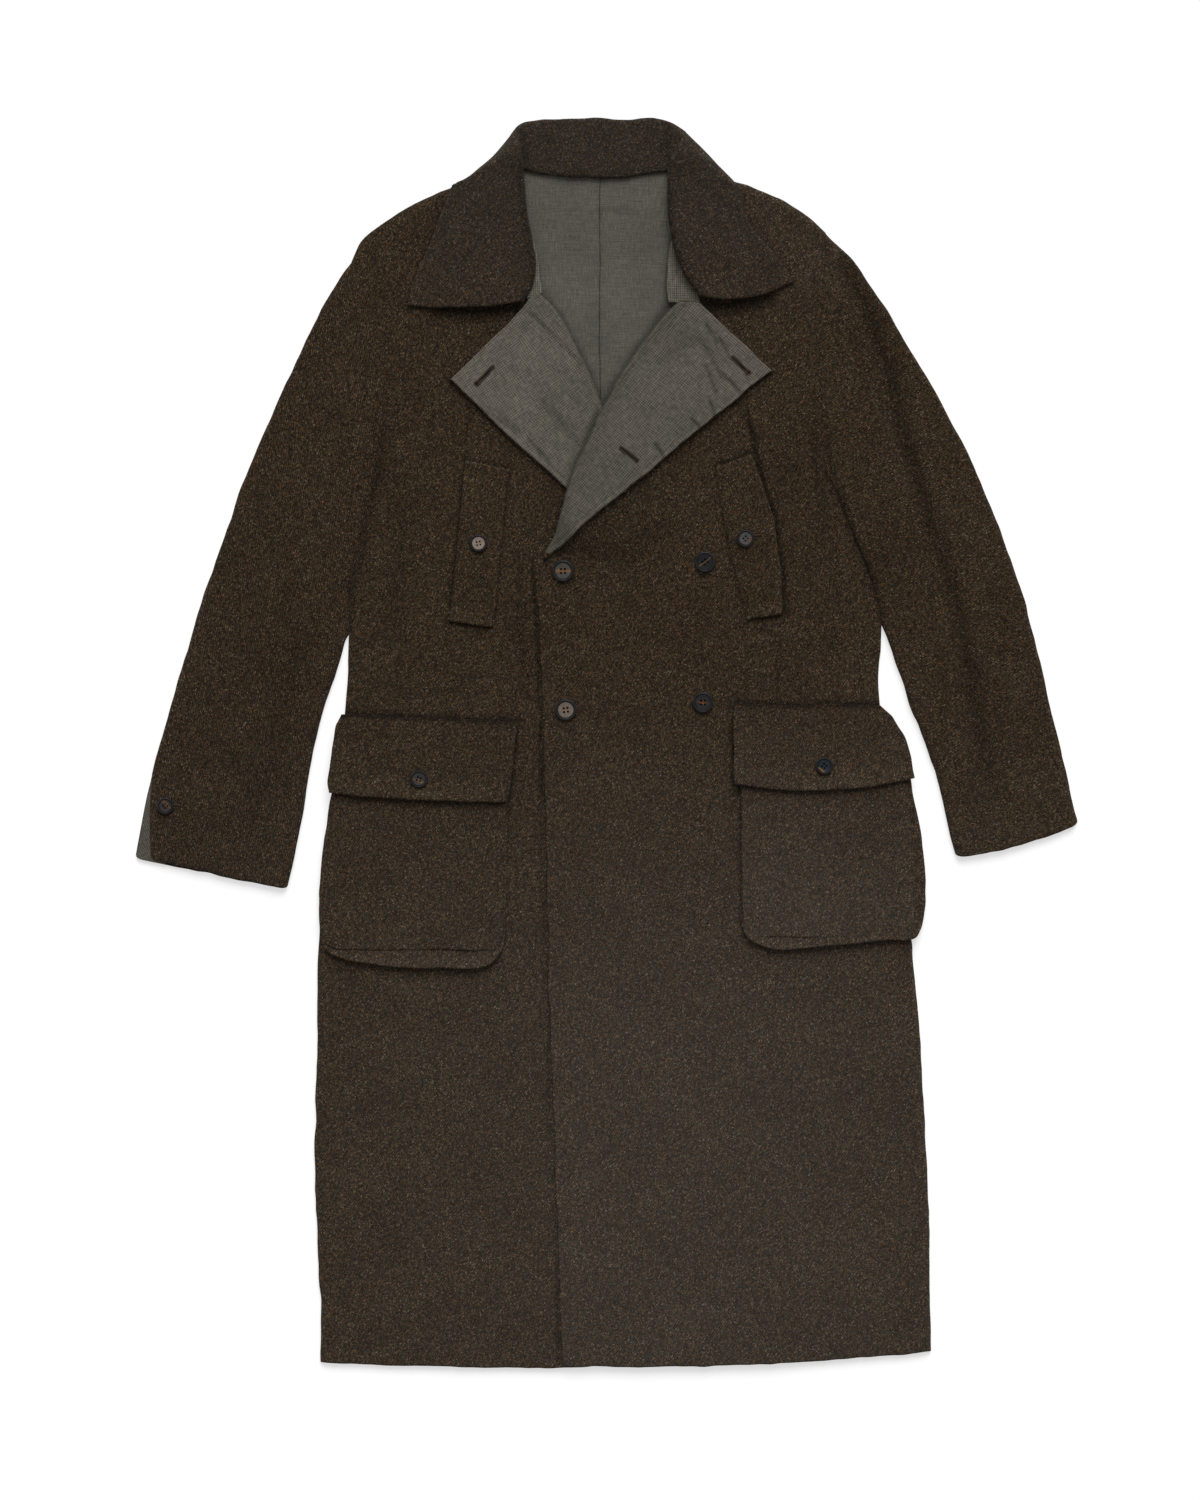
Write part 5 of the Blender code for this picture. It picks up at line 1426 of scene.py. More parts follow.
@functools.cache
def search(seat):
    """Search tree over a finished cloth."""
    bpy.context.view_layer.update()
    return BVHTree.FromObject(bpy.data.objects[seat], bpy.context.evaluated_depsgraph_get())


def seated(place, seat, above=0.0):
    """A place on a finished cloth in metres, moved up from it."""
    spot = table_place(np.array([*place, 0.0]))
    over = Vector((spot[0], spot[1], 1.0))
    found = search(seat).ray_cast(over, Vector((0.0, 0.0, -1.0)))[0] or search(seat).find_nearest(over)[0]
    return found + Vector((0.0, 0.0, above * MILLIMETRE))


def tilt(place, seat, reach):
    """Upward direction of the finished cloth about a place."""
    across, down = place
    slope_across = seated((across + reach, down), seat) - seated((across - reach, down), seat)
    slope_up = seated((across, down - reach), seat) - seated((across, down + reach), seat)
    return slope_across.cross(slope_up).normalized()


# Buttons

def button_mesh():
    """Turned horn button of radius 1, with a dished middle, a round rim and four holes."""
    turned = bmesh.new()
    ring = [turned.verts.new((share, 0.0, height)) for share, height in BUTTON_PROFILE]
    lines = [turned.edges.new(pair) for pair in zip(ring, ring[1:])]
    bmesh.ops.spin(
        turned, geom=ring + lines, cent=(0, 0, 0), axis=(0, 0, 1), angle=math.tau, steps=BUTTON_STEPS,
        use_merge=True, use_duplicate=False,
    )
    bmesh.ops.remove_doubles(turned, verts=turned.verts, dist=BUTTON_MERGE)
    bmesh.ops.recalc_face_normals(turned, faces=turned.faces)
    mesh = bpy.data.meshes.new("button_turned")
    turned.to_mesh(mesh)
    turned.free()
    drill = bmesh.new()
    for turn in range(HOLES):
        angle = math.tau * (turn + 0.5) / HOLES
        where = Matrix.Translation((HOLE_PLACE * math.cos(angle), HOLE_PLACE * math.sin(angle), 0.0))
        bmesh.ops.create_cone(
            drill, cap_ends=True, segments=HOLE_SIDES, radius1=HOLE_RADIUS, radius2=HOLE_RADIUS,
            depth=2 * HOLE_DEPTH, matrix=where,
        )
    drill_mesh = bpy.data.meshes.new("button_drill")
    drill.to_mesh(drill_mesh)
    drill.free()
    blank = bpy.data.objects.new("button_blank", mesh)
    cutter = bpy.data.objects.new("button_cutter", drill_mesh)
    for made in (blank, cutter):
        bpy.context.scene.collection.objects.link(made)
    cut = blank.modifiers.new("holes", "BOOLEAN")
    cut.operation = "DIFFERENCE"
    cut.object = cutter
    bpy.context.view_layer.update()
    drilled = bpy.data.meshes.new_from_object(blank.evaluated_get(bpy.context.evaluated_depsgraph_get()))
    for made in (blank, cutter):
        bpy.data.objects.remove(made, do_unlink=True)
    drilled.shade_smooth()
    drilled.set_sharp_from_angle(angle=math.radians(BUTTON_SHARP))
    turned_out = [math.hypot(vertex.co.x, vertex.co.y) for vertex in drilled.vertices]
    drilled.attributes.new("turned", "FLOAT", "POINT").data.foreach_set("value", turned_out)
    return drilled


def button(name, across, down, radius, seat, turn, look, pattern):
    """One horn button, tilted with the cloth that it lies on, and the thread through its holes."""
    mesh = pattern.copy()
    mesh.transform(Matrix.Diagonal((radius * MILLIMETRE, radius * MILLIMETRE, MILLIMETRE, 1.0)))
    mesh.materials.clear()
    mesh.materials.append(looks[look])
    leaning = Vector((0.0, 0.0, 1.0)).rotation_difference(tilt((across, down), seat, radius * BUTTON_FOOT))
    place = Matrix.Translation(seated((across, down), seat, BUTTON_REST)) @ leaning.to_matrix().to_4x4()
    place = place @ Matrix.Rotation(math.radians(turn), 4, "Z")
    piece = bpy.data.objects.new("horn_" + name, mesh)
    bpy.context.scene.collection.objects.link(piece)
    piece.matrix_world = place
    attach(piece, "root")
    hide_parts(name)
    thread = bmesh.new()
    near = HOLE_PLACE * radius * math.sqrt(0.5)
    for aside in (-near, near):
        for ahead in (-near, near):
            low = Vector((aside, ahead, THREAD_LOW)) * MILLIMETRE
            high = Vector((aside, ahead, THREAD_HIGH)) * MILLIMETRE
            rod(thread, low, high, THREAD_RADIUS * radius * MILLIMETRE)
    sewn = finish_rods(thread, "thread_" + name, looks["thread_dark"])
    sewn.matrix_world = place
    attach(sewn, "root")


# Sewing

def rod(mesh, start, end, radius):
    """A short round rod with tapered ends."""
    along = end - start
    turn = along.to_track_quat("Z", "Y").to_matrix().to_4x4()
    size = Matrix.Diagonal((radius, radius, along.length * ROD_REACH, 1.0))
    bmesh.ops.create_uvsphere(
        mesh, u_segments=ROD_SIDES, v_segments=ROD_RINGS, radius=1.0,
        matrix=Matrix.Translation((start + end) / 2) @ turn @ size,
    )


def finish_rods(rods, name, material):
    """An object from rods, smooth shaded, that rides with the coat."""
    for face in rods.faces:
        face.smooth = True
    mesh = bpy.data.meshes.new(name)
    rods.to_mesh(mesh)
    rods.free()
    mesh.materials.append(material)
    piece = bpy.data.objects.new(name, mesh)
    bpy.context.scene.collection.objects.link(piece)
    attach(piece, "root")
    return piece


def buttonhole(name, from_across, from_down, to_across, to_down, eyelet, seat):
    """Stitched buttonhole: rows of stitches round a black slit, with a black eyelet at its end or without;
    the black is painted shadow of the opening.
    """
    start = np.array([from_across, from_down])
    end = np.array([to_across, to_down])
    length = np.linalg.norm(end - start)
    along = (end - start) / length
    aside = np.array([-along[1], along[0]])
    stitches = bmesh.new()

    def stitch(inner, outer, inner_up, outer_up):
        low = seated(inner, seat, inner_up)
        rod(stitches, low, seated(outer, seat, outer_up), STITCH_RADIUS * MILLIMETRE)

    for number in range(int(length / STITCH_PITCH) + 1):
        place = start + along * number * STITCH_PITCH
        for sign in (-1, 1):
            inner = place + aside * sign * SLIT_HALF * STITCH_START
            outer = place + aside * sign * (SLIT_HALF + STITCH_REACH)
            stitch(inner, outer, STITCH_HIGH, STITCH_LOW)
    for number in range(EYELET_STITCHES if eyelet else 0):
        angle = math.tau * number / EYELET_STITCHES
        ray = np.array([math.cos(angle), math.sin(angle)])
        inner = end + ray * EYELET_RADIUS * EYELET_START
        stitch(inner, end + ray * (EYELET_RADIUS + STITCH_REACH), STITCH_HIGH, STITCH_LOW)
    for sign in (-1, 0, 1):
        bar = start - along * BAR_BACK
        stitch(bar + aside * sign * BAR_FROM, bar + aside * sign * BAR_TO, BAR_UP, BAR_UP)
    finish_rods(stitches, name, looks["thread_brown"])
    # Black rod and disc: painted shadow of the slit and the eyelet
    slit = bmesh.new()
    rim = seated(end, seat, SLIT_UP)
    rod(slit, seated(start, seat, SLIT_UP), rim, SLIT_HALF * SLIT_SHARE * MILLIMETRE)
    if eyelet:
        flat = Vector((EYELET_RADIUS, EYELET_RADIUS, SLIT_FLAT)) * MILLIMETRE
        bmesh.ops.create_uvsphere(
            slit, u_segments=EYELET_SIDES, v_segments=EYELET_RINGS, radius=1.0,
            matrix=Matrix.Translation(rim) @ Matrix.Diagonal((*flat, 1.0)),
        )
    finish_rods(slit, name + "_slit", looks["slit_shadow_black"])


def sewn_lines(name, seat, offsets, line):
    """Rows of machine stitches along a line."""
    line = np.asarray(line, float)
    gone = np.concatenate([[0.0], np.cumsum(np.linalg.norm(np.diff(line, axis=0), axis=-1))])
    places = between(np.column_stack([gone, line]), np.arange(0, gone[-1], SEWN_STEP))
    stitches = bmesh.new()
    steps = int((SEWN_LENGTH + SEWN_GAP) / SEWN_STEP)
    long = int(SEWN_LENGTH / SEWN_STEP)
    for offset in offsets:
        for number in range(0, len(places) - long - 1, steps):
            start = places[number]
            end = places[number + long]
            along = (end - start) / np.linalg.norm(end - start)
            aside = np.array([-along[1], along[0]]) * offset
            low = seated(start + aside, seat, SEWN_UP)
            rod(stitches, low, seated(end + aside, seat, SEWN_UP), SEWN_RADIUS * MILLIMETRE)
    finish_rods(stitches, name, looks["thread_grey"])


def bar_tacks():
    """Short pale bar tacks at the corners of the chest welts."""
    threads = bmesh.new()
    for across, down, turn, seat in TACKS:
        along = np.array([math.cos(math.radians(turn)), math.sin(math.radians(turn))])
        aside = np.array([-along[1], along[0]])
        for number in range(TACK_THREADS):
            place = np.array([across, down]) + aside * (number - 1) * TACK_RADIUS * TACK_SPACING
            start = seated(place - along * TACK_LENGTH / 2, seat, TACK_UP)
            end = seated(place + along * TACK_LENGTH / 2, seat, TACK_UP)
            rod(threads, start, end, TACK_RADIUS * MILLIMETRE)
    finish_rods(threads, "bar_tacks", looks["thread_pale"])


# Materials

SHEEN_ROUGHNESS = 0.6
# At a scale of 1, bands of Blender's wave texture are a turn apart, divided by this
WAVE_PART = 20
# Places of the colours among the sockets of Blender's mix node
MIX_INPUTS = (6, 7)
MIX_OUTPUT = 2


class Look:
    """A material's node tree, with short calls for its nodes."""

    def __init__(self, name, roughness, specular, sheen=0.0):
        self.material = bpy.data.materials.new(name)
        self.material.use_nodes = True
        self.tree = self.material.node_tree
        self.shader = self.tree.nodes["Principled BSDF"]
        self.shader.inputs["Roughness"].default_value = roughness
        self.shader.inputs["Specular IOR Level"].default_value = specular
        self.shader.inputs["Sheen Weight"].default_value = sheen
        self.shader.inputs["Sheen Roughness"].default_value = SHEEN_ROUGHNESS

    def feed(self, socket, value):
        """Links a socket to another node, or sets its constant value."""
        if isinstance(value, bpy.types.NodeSocket):
            self.tree.links.new(value, socket)
        elif socket.type == "RGBA":
            socket.default_value = (*value, 1.0)
        else:
            socket.default_value = value

    def node(self, kind, **inputs):
        """A node with the inputs that are named."""
        made = self.tree.nodes.new(kind)
        for name, value in inputs.items():
            self.feed(made.inputs[name.replace("_", " ")], value)
        return made

    def attribute(self, name, output):
        """A value that the mesh carries at its points."""
        made = self.tree.nodes.new("ShaderNodeAttribute")
        made.attribute_name = name
        return made.outputs[output]

    def place(self):
        """Places in the piece's own frame."""
        return self.tree.nodes.new("ShaderNodeTexCoord").outputs["Object"]

    def stretched(self, vector, scale, turn=0.0):
        """Places turned and scaled, by the number of lumps in a metre."""
        made = self.node("ShaderNodeMapping", Vector=vector, Scale=scale)
        made.inputs["Rotation"].default_value = (0.0, 0.0, math.radians(turn))
        return made.outputs["Vector"]

    def noise(self, vector, scale, detail, roughness=0.6):
        """Soft noise, stretched where its scale has three parts."""
        if isinstance(scale, tuple):
            vector = self.stretched(vector, scale)
            scale = 1.0
        made = self.node(
            "ShaderNodeTexNoise", Vector=vector, Scale=scale, Detail=detail, Roughness=roughness,
        )
        return made.outputs["Fac"]

    def cells(self, vector, scale):
        """Flat cells, each with its own value."""
        made = self.node("ShaderNodeTexVoronoi", Vector=self.stretched(vector, scale), Scale=1.0)
        made.voronoi_dimensions = "2D"
        return self.node("ShaderNodeSeparateColor", Color=made.outputs["Color"]).outputs["Red"]

    def bands(self, vector, period, distortion, detail_scale):
        """Wavy bands, a period in metres apart."""
        scale = math.tau / (WAVE_PART * period)
        made = self.node(
            "ShaderNodeTexWave", Vector=vector, Scale=scale, Distortion=distortion,
            Detail_Scale=detail_scale,
        )
        return made.outputs["Fac"]

    def ramp(self, value, stops):
        """Colours by a value, each from its own place on."""
        made = self.node("ShaderNodeValToRGB", Fac=value)
        elements = made.color_ramp.elements
        while len(elements) < len(stops):
            elements.new(0.5)
        for element, (place, colour) in zip(elements, stops):
            element.position = place
            element.color = (*colour, 1.0)
        return made.outputs["Color"]

    def part(self, value, low, high):
        """Share of the way from a low value to a high one."""
        return self.node("ShaderNodeMapRange", Value=value, From_Min=low, From_Max=high).outputs["Result"]

    def math(self, operation, one, two):
        """One sum of two values."""
        made = self.tree.nodes.new("ShaderNodeMath")
        made.operation = operation
        for socket, value in zip(made.inputs, (one, two)):
            self.feed(socket, value)
        return made.outputs["Value"]

    def total(self, first, *others):
        """Sum of values, each given with its weight."""
        found = self.math("MULTIPLY", *first)
        for term in others:
            found = self.math("ADD", found, self.math("MULTIPLY", *term))
        return found

    def mix(self, share, one, two, blend="MIX"):
        """Two colours blended."""
        made = self.tree.nodes.new("ShaderNodeMix")
        made.data_type = "RGBA"
        made.blend_type = blend
        self.feed(made.inputs["Factor"], share)
        for place, value in zip(MIX_INPUTS, (one, two)):
            self.feed(made.inputs[place], value)
        return made.outputs[MIX_OUTPUT]

    def times(self, colour, tint):
        """A colour multiplied by a tint."""
        return self.mix(1.0, colour, tint, "MULTIPLY")

    def seams_and_painted_shade(self, colour, tint):
        """A colour darkened along seams and by painted shade."""
        return self.mix(self.attribute("seam", "Fac"), colour, self.times(colour, tint))

    def rubbed(self, colour, tint, share):
        """A colour tinted along worn edges."""
        worn = self.math("MULTIPLY", self.attribute("wear", "Fac"), share)
        return self.mix(worn, colour, self.times(colour, tint))

    def finish(self, colour, relief, depth, strength):
        """The material with its colour, and its relief if it has any."""
        self.tree.links.new(colour, self.shader.inputs["Base Color"])
        if relief is not None:
            bump = self.node("ShaderNodeBump", Height=relief, Strength=strength, Distance=depth)
            self.tree.links.new(bump.outputs["Normal"], self.shader.inputs["Normal"])
        return self.material


# Tweed: tints of its tufts, fibres, twill and slow patches, each by the share that they start at
TUFT_TINTS = [
    (0.0, (0.0050, 0.0036, 0.0026)), (0.12, (0.0138, 0.0088, 0.0054)), (0.35, (0.0238, 0.0154, 0.0092)),
    (0.55, (0.0350, 0.0222, 0.0132)), (0.68, (0.0428, 0.0331, 0.0149)), (0.77, (0.0393, 0.0374, 0.0350)),
    (0.86, (0.0826, 0.0511, 0.0200)), (0.94, (0.0895, 0.0376, 0.0141)), (1.0, (0.1490, 0.1160, 0.0790)),
]
FIBRE_TINTS = [(0.3, (0.7, 0.7, 0.7)), (0.7, (1.3, 1.3, 1.3))]
TWILL_TINTS = [(0.0, (0.45, 0.45, 0.45)), (1.0, (1.5, 1.5, 1.5))]
PATCH_TINTS = [(0.3, (0.90, 0.89, 0.88)), (0.7, (1.08, 1.09, 1.10))]
TUFT_MEAN = (0.0396, 0.0262, 0.0151)
TUFT_EVENNESS = 0.12
TWILL_SHARE = 0.5
HAZED_MEAN = (0.0535, 0.0450, 0.0370)
HAZED_EVENNESS = 0.2
HAZED_TINT = (1.33, 1.43, 1.60)
TWEED_SHADED = (0.22, 0.22, 0.23)
TWEED_RUBBED = (1.25, 1.22, 1.18)
TWEED_RUBBED_SHARE = 0.3
TWEED_RELIEF = 0.0006
COTTON_RELIEF = 0.0004
CLOTH_RELIEF_SHARE = 0.5


def tweed_look():
    """Felted wool twill: tufts of brown, black, rust, ochre, olive and slate, with a painted pale haze
    towards the hem that stands in for sheen, and painted shade along lines.
    """
    look = Look("wool_tweed", roughness=0.95, specular=0.05, sheen=0.03)
    grain = look.attribute("grain", "Vector")
    along_twill = look.stretched(grain, (1, 1, 1), TWILL_TURN)
    tufts = look.cells(along_twill, scale=(1200, 760, 0))
    fibre = look.noise(grain, scale=(1900, 1500, 0), detail=1.0, roughness=0.5)
    twill = look.bands(along_twill, period=0.0021, distortion=1.6, detail_scale=400)
    patch = look.noise(grain, scale=(13, 13, 0), detail=3.0, roughness=0.55)
    colour = look.mix(TUFT_EVENNESS, look.ramp(tufts, TUFT_TINTS), TUFT_MEAN)
    colour = look.times(colour, look.ramp(fibre, FIBRE_TINTS))
    colour = look.mix(TWILL_SHARE, colour, look.ramp(twill, TWILL_TINTS), "MULTIPLY")
    colour = look.times(colour, look.ramp(patch, PATCH_TINTS))
    # Painted pale haze that stands in for sheen, by the fade share
    paler = look.times(look.mix(HAZED_EVENNESS, colour, HAZED_MEAN), HAZED_TINT)
    colour = look.mix(look.attribute("fade", "Fac"), colour, paler)
    # Darkened seams and painted shade, by the seam share
    colour = look.seams_and_painted_shade(colour, TWEED_SHADED)
    colour = look.rubbed(colour, TWEED_RUBBED, TWEED_RUBBED_SHARE)
    relief = look.total((twill, 0.55), (tufts, 0.3), (fibre, 0.35))
    return look.finish(colour, relief, TWEED_RELIEF, CLOTH_RELIEF_SHARE)


# Facing: tints of its threads and slow patches
FACING_TINTS = [
    (0.3, (0.0405, 0.0370, 0.0305)), (0.5, (0.0980, 0.0880, 0.0720)), (0.7, (0.203, 0.181, 0.145)),
]
FACING_PATCHES = [(0.32, (0.88, 0.90, 0.88)), (0.68, (1.1, 1.07, 1.07))]
FACING_SHADED = (0.3, 0.3, 0.3)
FACING_RUBBED = (1.25, 1.24, 1.22)
FACING_RUBBED_SHARE = 0.4


def facing_look():
    """Grey cotton in a fine pin-check of pale and dark threads, with slubs."""
    look = Look("cotton_facing", roughness=0.85, specular=0.12, sheen=0.05)
    grain = look.attribute("grain", "Vector")
    warp = look.bands(look.stretched(grain, (1, 1, 1)), period=0.0021, distortion=0.5, detail_scale=300)
    weft = look.bands(look.stretched(grain, (1, 1, 1), 90), period=0.0023, distortion=0.5, detail_scale=300)
    slub_warp = look.noise(grain, scale=(640, 120, 0), detail=2.0)
    slub_weft = look.noise(grain, scale=(110, 600, 0), detail=2.0)
    patch = look.noise(grain, scale=24.0, detail=3.0, roughness=0.55)
    check = look.total((warp, 0.16), (weft, 0.12))
    slubs = look.total((slub_warp, 0.4), (slub_weft, 0.36))
    thread = look.math("ADD", check, slubs)
    colour = look.times(look.ramp(thread, FACING_TINTS), look.ramp(patch, FACING_PATCHES))
    # Painted shade along lines, in crease troughs and near the roll, by the seam share
    colour = look.seams_and_painted_shade(colour, FACING_SHADED)
    colour = look.rubbed(colour, FACING_RUBBED, FACING_RUBBED_SHARE)
    return look.finish(colour, thread, COTTON_RELIEF, CLOTH_RELIEF_SHARE)


# Lining: tints of its threads and slow patches
LINING_TINTS = [
    (0.34, (0.053, 0.0515, 0.044)), (0.5, (0.099, 0.093, 0.079)), (0.66, (0.163, 0.150, 0.1245)),
]
LINING_PATCHES = [(0.32, (0.90, 0.92, 0.90)), (0.68, (1.08, 1.07, 1.05))]
LINING_SHADED = (0.25, 0.25, 0.25)


def lining_look():
    """Grey cotton with fine slubs down it and across."""
    look = Look("cotton_lining", roughness=0.85, specular=0.12, sheen=0.05)
    grain = look.attribute("grain", "Vector")
    warp = look.noise(grain, scale=(760, 90, 0), detail=2.0, roughness=0.65)
    weft = look.noise(grain, scale=(42, 900, 0), detail=2.0, roughness=0.65)
    knots = look.noise(grain, scale=(900, 700, 0), detail=1.0, roughness=0.5)
    patch = look.noise(grain, scale=21.0, detail=3.0, roughness=0.55)
    thread = look.total((warp, 0.34), (weft, 0.32), (knots, 0.34))
    colour = look.times(look.ramp(thread, LINING_TINTS), look.ramp(patch, LINING_PATCHES))
    # Darkened centre seam and painted shadow beside the lapels, by the seam share
    colour = look.seams_and_painted_shade(colour, LINING_SHADED)
    return look.finish(colour, thread, COTTON_RELIEF, CLOTH_RELIEF_SHARE)


# Horns: name, tint of the dish, tint of its streaks, how far ahead they lie, half width, gathering
HORNS = [
    ("horn_pale", (0.150, 0.122, 0.102), (0.190, 0.122, 0.080), 0.0, 0.004, 0.3),
    ("horn_bone", (0.235, 0.190, 0.157), (0.260, 0.185, 0.135), 0.0, 0.002, 0.0),
    ("horn_banded", (0.064, 0.058, 0.053), (0.190, 0.088, 0.033), 0.0, 0.0026, 0.0),
    ("horn_black", (0.013, 0.014, 0.016), (0.110, 0.062, 0.028), 0.0, 0.0011, 0.0),
    ("horn_rust", (0.022, 0.020, 0.021), (0.170, 0.056, 0.020), 0.0, 0.0060, 0.4),
    ("horn_grey", (0.066, 0.068, 0.070), (0.140, 0.052, 0.018), -0.0034, 0.0018, 0.0),
    ("horn_smoke", (0.034, 0.032, 0.031), (0.150, 0.075, 0.030), -0.0022, 0.0022, 0.0),
    ("horn_blue", (0.015, 0.0185, 0.0245), (0.220, 0.110, 0.032), -0.0048, 0.0015, 0.0),
]
HORN_RIM = (0.019, 0.018, 0.019)
HORN_CLOUDS = [(0.3, (0.7, 0.7, 0.72)), (0.7, (1.25, 1.25, 1.2))]
STREAK_FALL = 0.25
HORN_RELIEF = 0.00005
HORN_RELIEF_SHARE = 0.3


def horn_look(name, middle, streak, ahead, half, gather):
    """Polished horn, black round the rim, with a streaky band of another tint across the dish."""
    look = Look(name, roughness=0.4, specular=0.15)
    place = look.place()
    lines = look.noise(place, scale=(160, 700, 0), detail=3.0)
    cloud = look.noise(place, scale=(210, 210, 0), detail=3.0)
    along = look.node("ShaderNodeSeparateXYZ", Vector=place).outputs["Y"]
    away = look.math("ABSOLUTE", look.math("SUBTRACT", along, ahead), 0.0)
    band = look.math("SUBTRACT", lines, look.math("MULTIPLY", away, STREAK_FALL / half))
    turned = look.attribute("turned", "Fac")
    band = look.math("SUBTRACT", band, look.math("MULTIPLY", turned, gather))
    colour = look.mix(look.part(band, low=0.3, high=0.5), middle, streak)
    colour = look.mix(look.part(turned, low=0.68, high=0.74), colour, HORN_RIM)
    colour = look.times(colour, look.ramp(cloud, HORN_CLOUDS))
    scratches = look.noise(place, scale=900.0, detail=2.0)
    return look.finish(colour, scratches, HORN_RELIEF, HORN_RELIEF_SHARE)


# Threads, and the black of painted shadow in buttonhole slits: name, colour, colour of its paler twists
THREADS = [
    ("thread_dark", (0.010, 0.008, 0.007), (0.030, 0.024, 0.019)),
    ("slit_shadow_black", (0.002, 0.002, 0.002), (0.006, 0.005, 0.004)),
    ("thread_brown", (0.030, 0.021, 0.014), (0.085, 0.060, 0.038)),
    ("thread_grey", (0.050, 0.046, 0.040), (0.110, 0.098, 0.080)),
    ("thread_pale", (0.055, 0.044, 0.032), (0.12, 0.098, 0.072)),
]
THREAD_RELIEF = 0.0002
THREAD_RELIEF_SHARE = 0.6


def thread_look(name, colour, pale):
    """Twisted sewing thread; the same look gives the painted shadow in buttonhole slits."""
    look = Look(name, roughness=0.8, specular=0.15)
    twist = look.noise(look.place(), scale=(1500, 1500, 1500), detail=2.0)
    return look.finish(look.mix(twist, colour, pale), twist, THREAD_RELIEF, THREAD_RELIEF_SHARE)


# Stage: floor, light and a camera that looks straight down

FLOOR_SIZE = 40.0
FLOOR_CELLS = 4
FLOOR_GLOW = 0.54
FLOOR_TINTS = [(0.0, (0.60, 0.60, 0.60)), (1.0, (0.62, 0.62, 0.62))]
WHITE = (1.0, 1.0, 1.0, 1.0)
CAMERA_HEIGHT = 4.0
PHOTO_WIDTH = 1200
PHOTO_HEIGHT = 1500
SENSOR = 36.0
WORLD_STRENGTH = 0.35
KEY_FROM = (0.12, 1.0, 0.72)
KEY_SOFTNESS = 45
KEY_STRENGTH = 2.75


def floor_look():
    """Plain white surface."""
    look = Look("studio_white", roughness=0.9, specular=0.1)
    cloud = look.noise(look.place(), scale=3.0, detail=2.0)
    look.shader.inputs["Emission Color"].default_value = WHITE
    look.shader.inputs["Emission Strength"].default_value = FLOOR_GLOW
    return look.finish(look.ramp(cloud, FLOOR_TINTS), None, 0.0, 0.0)


def stage():
    """White lit floor, soft light from above the collar, even light all round, camera over the middle."""
    scene = bpy.context.scene
    sheet = bmesh.new()
    bmesh.ops.create_grid(sheet, x_segments=FLOOR_CELLS, y_segments=FLOOR_CELLS, size=FLOOR_SIZE / 2)
    mesh = bpy.data.meshes.new("floor")
    sheet.to_mesh(mesh)
    sheet.free()
    mesh.materials.append(floor_look())
    floor = bpy.data.objects.new("floor", mesh)
    scene.collection.objects.link(floor)
    world = bpy.data.worlds.new("studio")
    world.use_nodes = True
    world.node_tree.nodes["Background"].inputs["Color"].default_value = WHITE
    world.node_tree.nodes["Background"].inputs["Strength"].default_value = WORLD_STRENGTH
    scene.world = world
    lamp = bpy.data.lights.new("key", "SUN")
    lamp.energy = KEY_STRENGTH
    lamp.angle = math.radians(KEY_SOFTNESS)
    key = bpy.data.objects.new("key", lamp)
    key.rotation_euler = (-Vector(KEY_FROM)).to_track_quat("-Z", "Y").to_euler()
    scene.collection.objects.link(key)
    view = bpy.data.cameras.new("camera")
    view.sensor_width = SENSOR
    view.lens = SENSOR * CAMERA_HEIGHT / (PHOTO_HEIGHT * MILLIMETRE)
    camera = bpy.data.objects.new("camera", view)
    over_across = (PHOTO_WIDTH / 2 - MIDDLE_ACROSS) * MILLIMETRE
    over_down = (MIDDLE_DOWN - PHOTO_HEIGHT / 2) * MILLIMETRE
    camera.location = (over_across, over_down, CAMERA_HEIGHT)
    scene.collection.objects.link(camera)
    scene.camera = camera
    scene.view_settings.view_transform = "Standard"


looks = {"tweed": tweed_look(), "facing": facing_look(), "lining": lining_look()}
looks.update({entry[0]: horn_look(*entry) for entry in HORNS})
looks.update({entry[0]: thread_look(*entry) for entry in THREADS})

stage()
back()
lining("right", LINING_RIGHT, -SEAM / 2)
lining("left", LINING_LEFT, SEAM / 2)
front(
    "right", side=SIDE_RIGHT, armhole=ARMHOLE_RIGHT, skirt_edge=EDGE_RIGHT, roll=ROLL_RIGHT,
    lapel=LAPEL_RIGHT, shoulder=SHOULDER_RIGHT, sag=HEM_SAG_RIGHT, first=BREAK_RIGHT, top=right_top,
    fade=HAZE_FRONT_RIGHT,
    lines=[
        *SHADE_ARMHOLE_RIGHT, *SEAM_AND_SHADE_LINES_RIGHT, (PANEL_SEAM_RIGHT, *SEAM_PRESSED_AND_SHADED_RIGHT),
        *panel_lines(WELT_RIGHT, POCKET_RIGHT, FLAP_RIGHT),
    ],
)
front(
    "left", side=SIDE_LEFT, armhole=ARMHOLE_LEFT, skirt_edge=EDGE_LEFT, roll=ROLL_LEFT,
    lapel=LAPEL_LEFT, shoulder=SHOULDER_LEFT, sag=HEM_SAG_LEFT, first=BREAK_LEFT, top=left_top,
    fade=HAZE_FRONT_LEFT,
    lines=[
        *SHADE_ARMHOLE_LEFT, *SEAM_AND_SHADE_LINES_LEFT, (PANEL_SEAM_LEFT, *SEAM_PRESSED_AND_SHADED_LEFT),
        *panel_lines(WELT_LEFT, POCKET_LEFT, FLAP_LEFT),
    ],
)
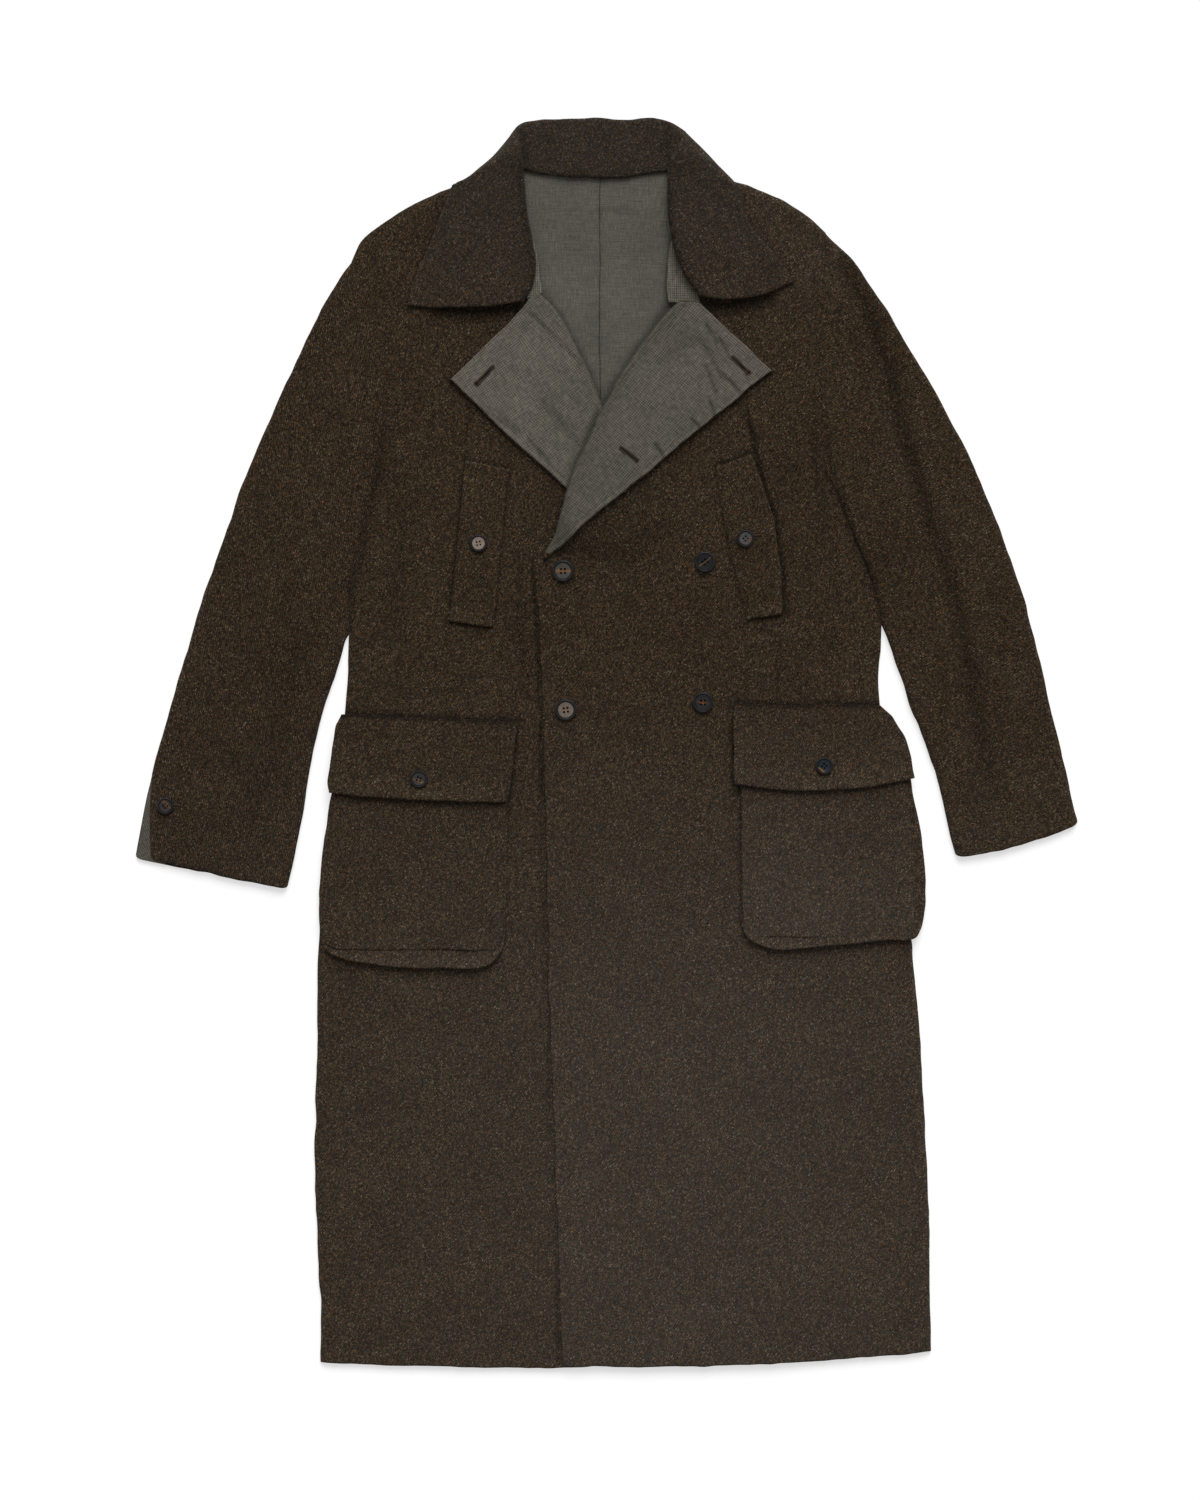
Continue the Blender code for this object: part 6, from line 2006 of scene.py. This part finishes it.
facing(
    "right", roll=ROLL_RIGHT, lapel=LAPEL_RIGHT, first=BREAK_RIGHT, top=right_top,
    creases=CREASES_FACING_RIGHT,
    lines=[(SEWN_LINES[0][-1], *STITCHES_PRESSED_AND_SHADED), *SHADOW_ON_FACING_RIGHT],
    base=FACING_SHADE_RIGHT, shade=ROLL_SHADE_RIGHT, grain=GRAIN_FACING_RIGHT,
)
facing(
    "left", roll=ROLL_LEFT, lapel=LAPEL_LEFT, first=BREAK_LEFT, top=left_top,
    creases=CREASES_FACING_LEFT,
    lines=[(SEWN_LINES[1][-1], *STITCHES_PRESSED_AND_SHADED)],
    base=FACING_SHADE_LEFT, shade=ROLL_SHADE_LEFT, grain=GRAIN_FACING_LEFT,
)
neck_strip("right", NECK_STRIP_RIGHT, right_top, creases=[], lip=0.0, rise=NECK_STRIP_RISE)
neck_strip("left", NECK_STRIP_LEFT, left_top, creases=CREASES_NECK_STRIP_LEFT, lip=NECK_STRIP_LIP, rise=0.0)
collar()
under_sleeve("right", SLEEVE_RIGHT, ARMHOLE_RIGHT, SLEEVE_TUCK, CUFF_SAG_RIGHT, GRAIN_SLEEVE_RIGHT)
under_sleeve("left", SLEEVE_LEFT, ARMHOLE_LEFT, -SLEEVE_TUCK, CUFF_SAG_LEFT, GRAIN_SLEEVE_LEFT)
sleeve(
    "right", SLEEVE_RIGHT, ARMHOLE_RIGHT, body_top=RIGHT_TOP, seam=SLEEVE_TUCK, sag=CUFF_SAG_RIGHT,
    folds=FOLDS_RIGHT, creases=CREASES_SLEEVE_RIGHT, lines=[*SHADE_ARMHOLE_RIGHT, *SHADE_SLEEVE_RIGHT],
    grain=GRAIN_SLEEVE_RIGHT, vent=True,
)
sleeve(
    "left", SLEEVE_LEFT, ARMHOLE_LEFT, body_top=LEFT_TOP_SINGLE, seam=-SLEEVE_TUCK, sag=CUFF_SAG_LEFT,
    folds=FOLDS_LEFT, creases=CREASES_SLEEVE_LEFT, lines=[*SHADE_ARMHOLE_LEFT, *SHADE_SLEEVE_LEFT],
    grain=GRAIN_SLEEVE_LEFT, vent=False,
)
cuff_facing()
welt("right", WELT_RIGHT, right_top, WELT_SEWN)
welt("left", WELT_LEFT, left_top, -WELT_SEWN)
pocket(
    "right", POCKET_RIGHT, GUSSET_RIGHT, FLAP_RIGHT, right_top,
    flap_sag=FLAP_SAG_RIGHT, droop=0.0, fade=HAZE_POCKET_RIGHT,
)
pocket(
    "left", POCKET_LEFT, GUSSET_LEFT, FLAP_LEFT, left_top,
    flap_sag=FLAP_SAG_LEFT, droop=DROOP_LEFT, fade=HAZE_POCKET_LEFT,
)
pattern = button_mesh()
for entry in BUTTONS:
    button(*entry, pattern)
for entry in BUTTONHOLES:
    buttonhole(*entry)
for entry in SEWN_LINES:
    sewn_lines(*entry)
bar_tacks()
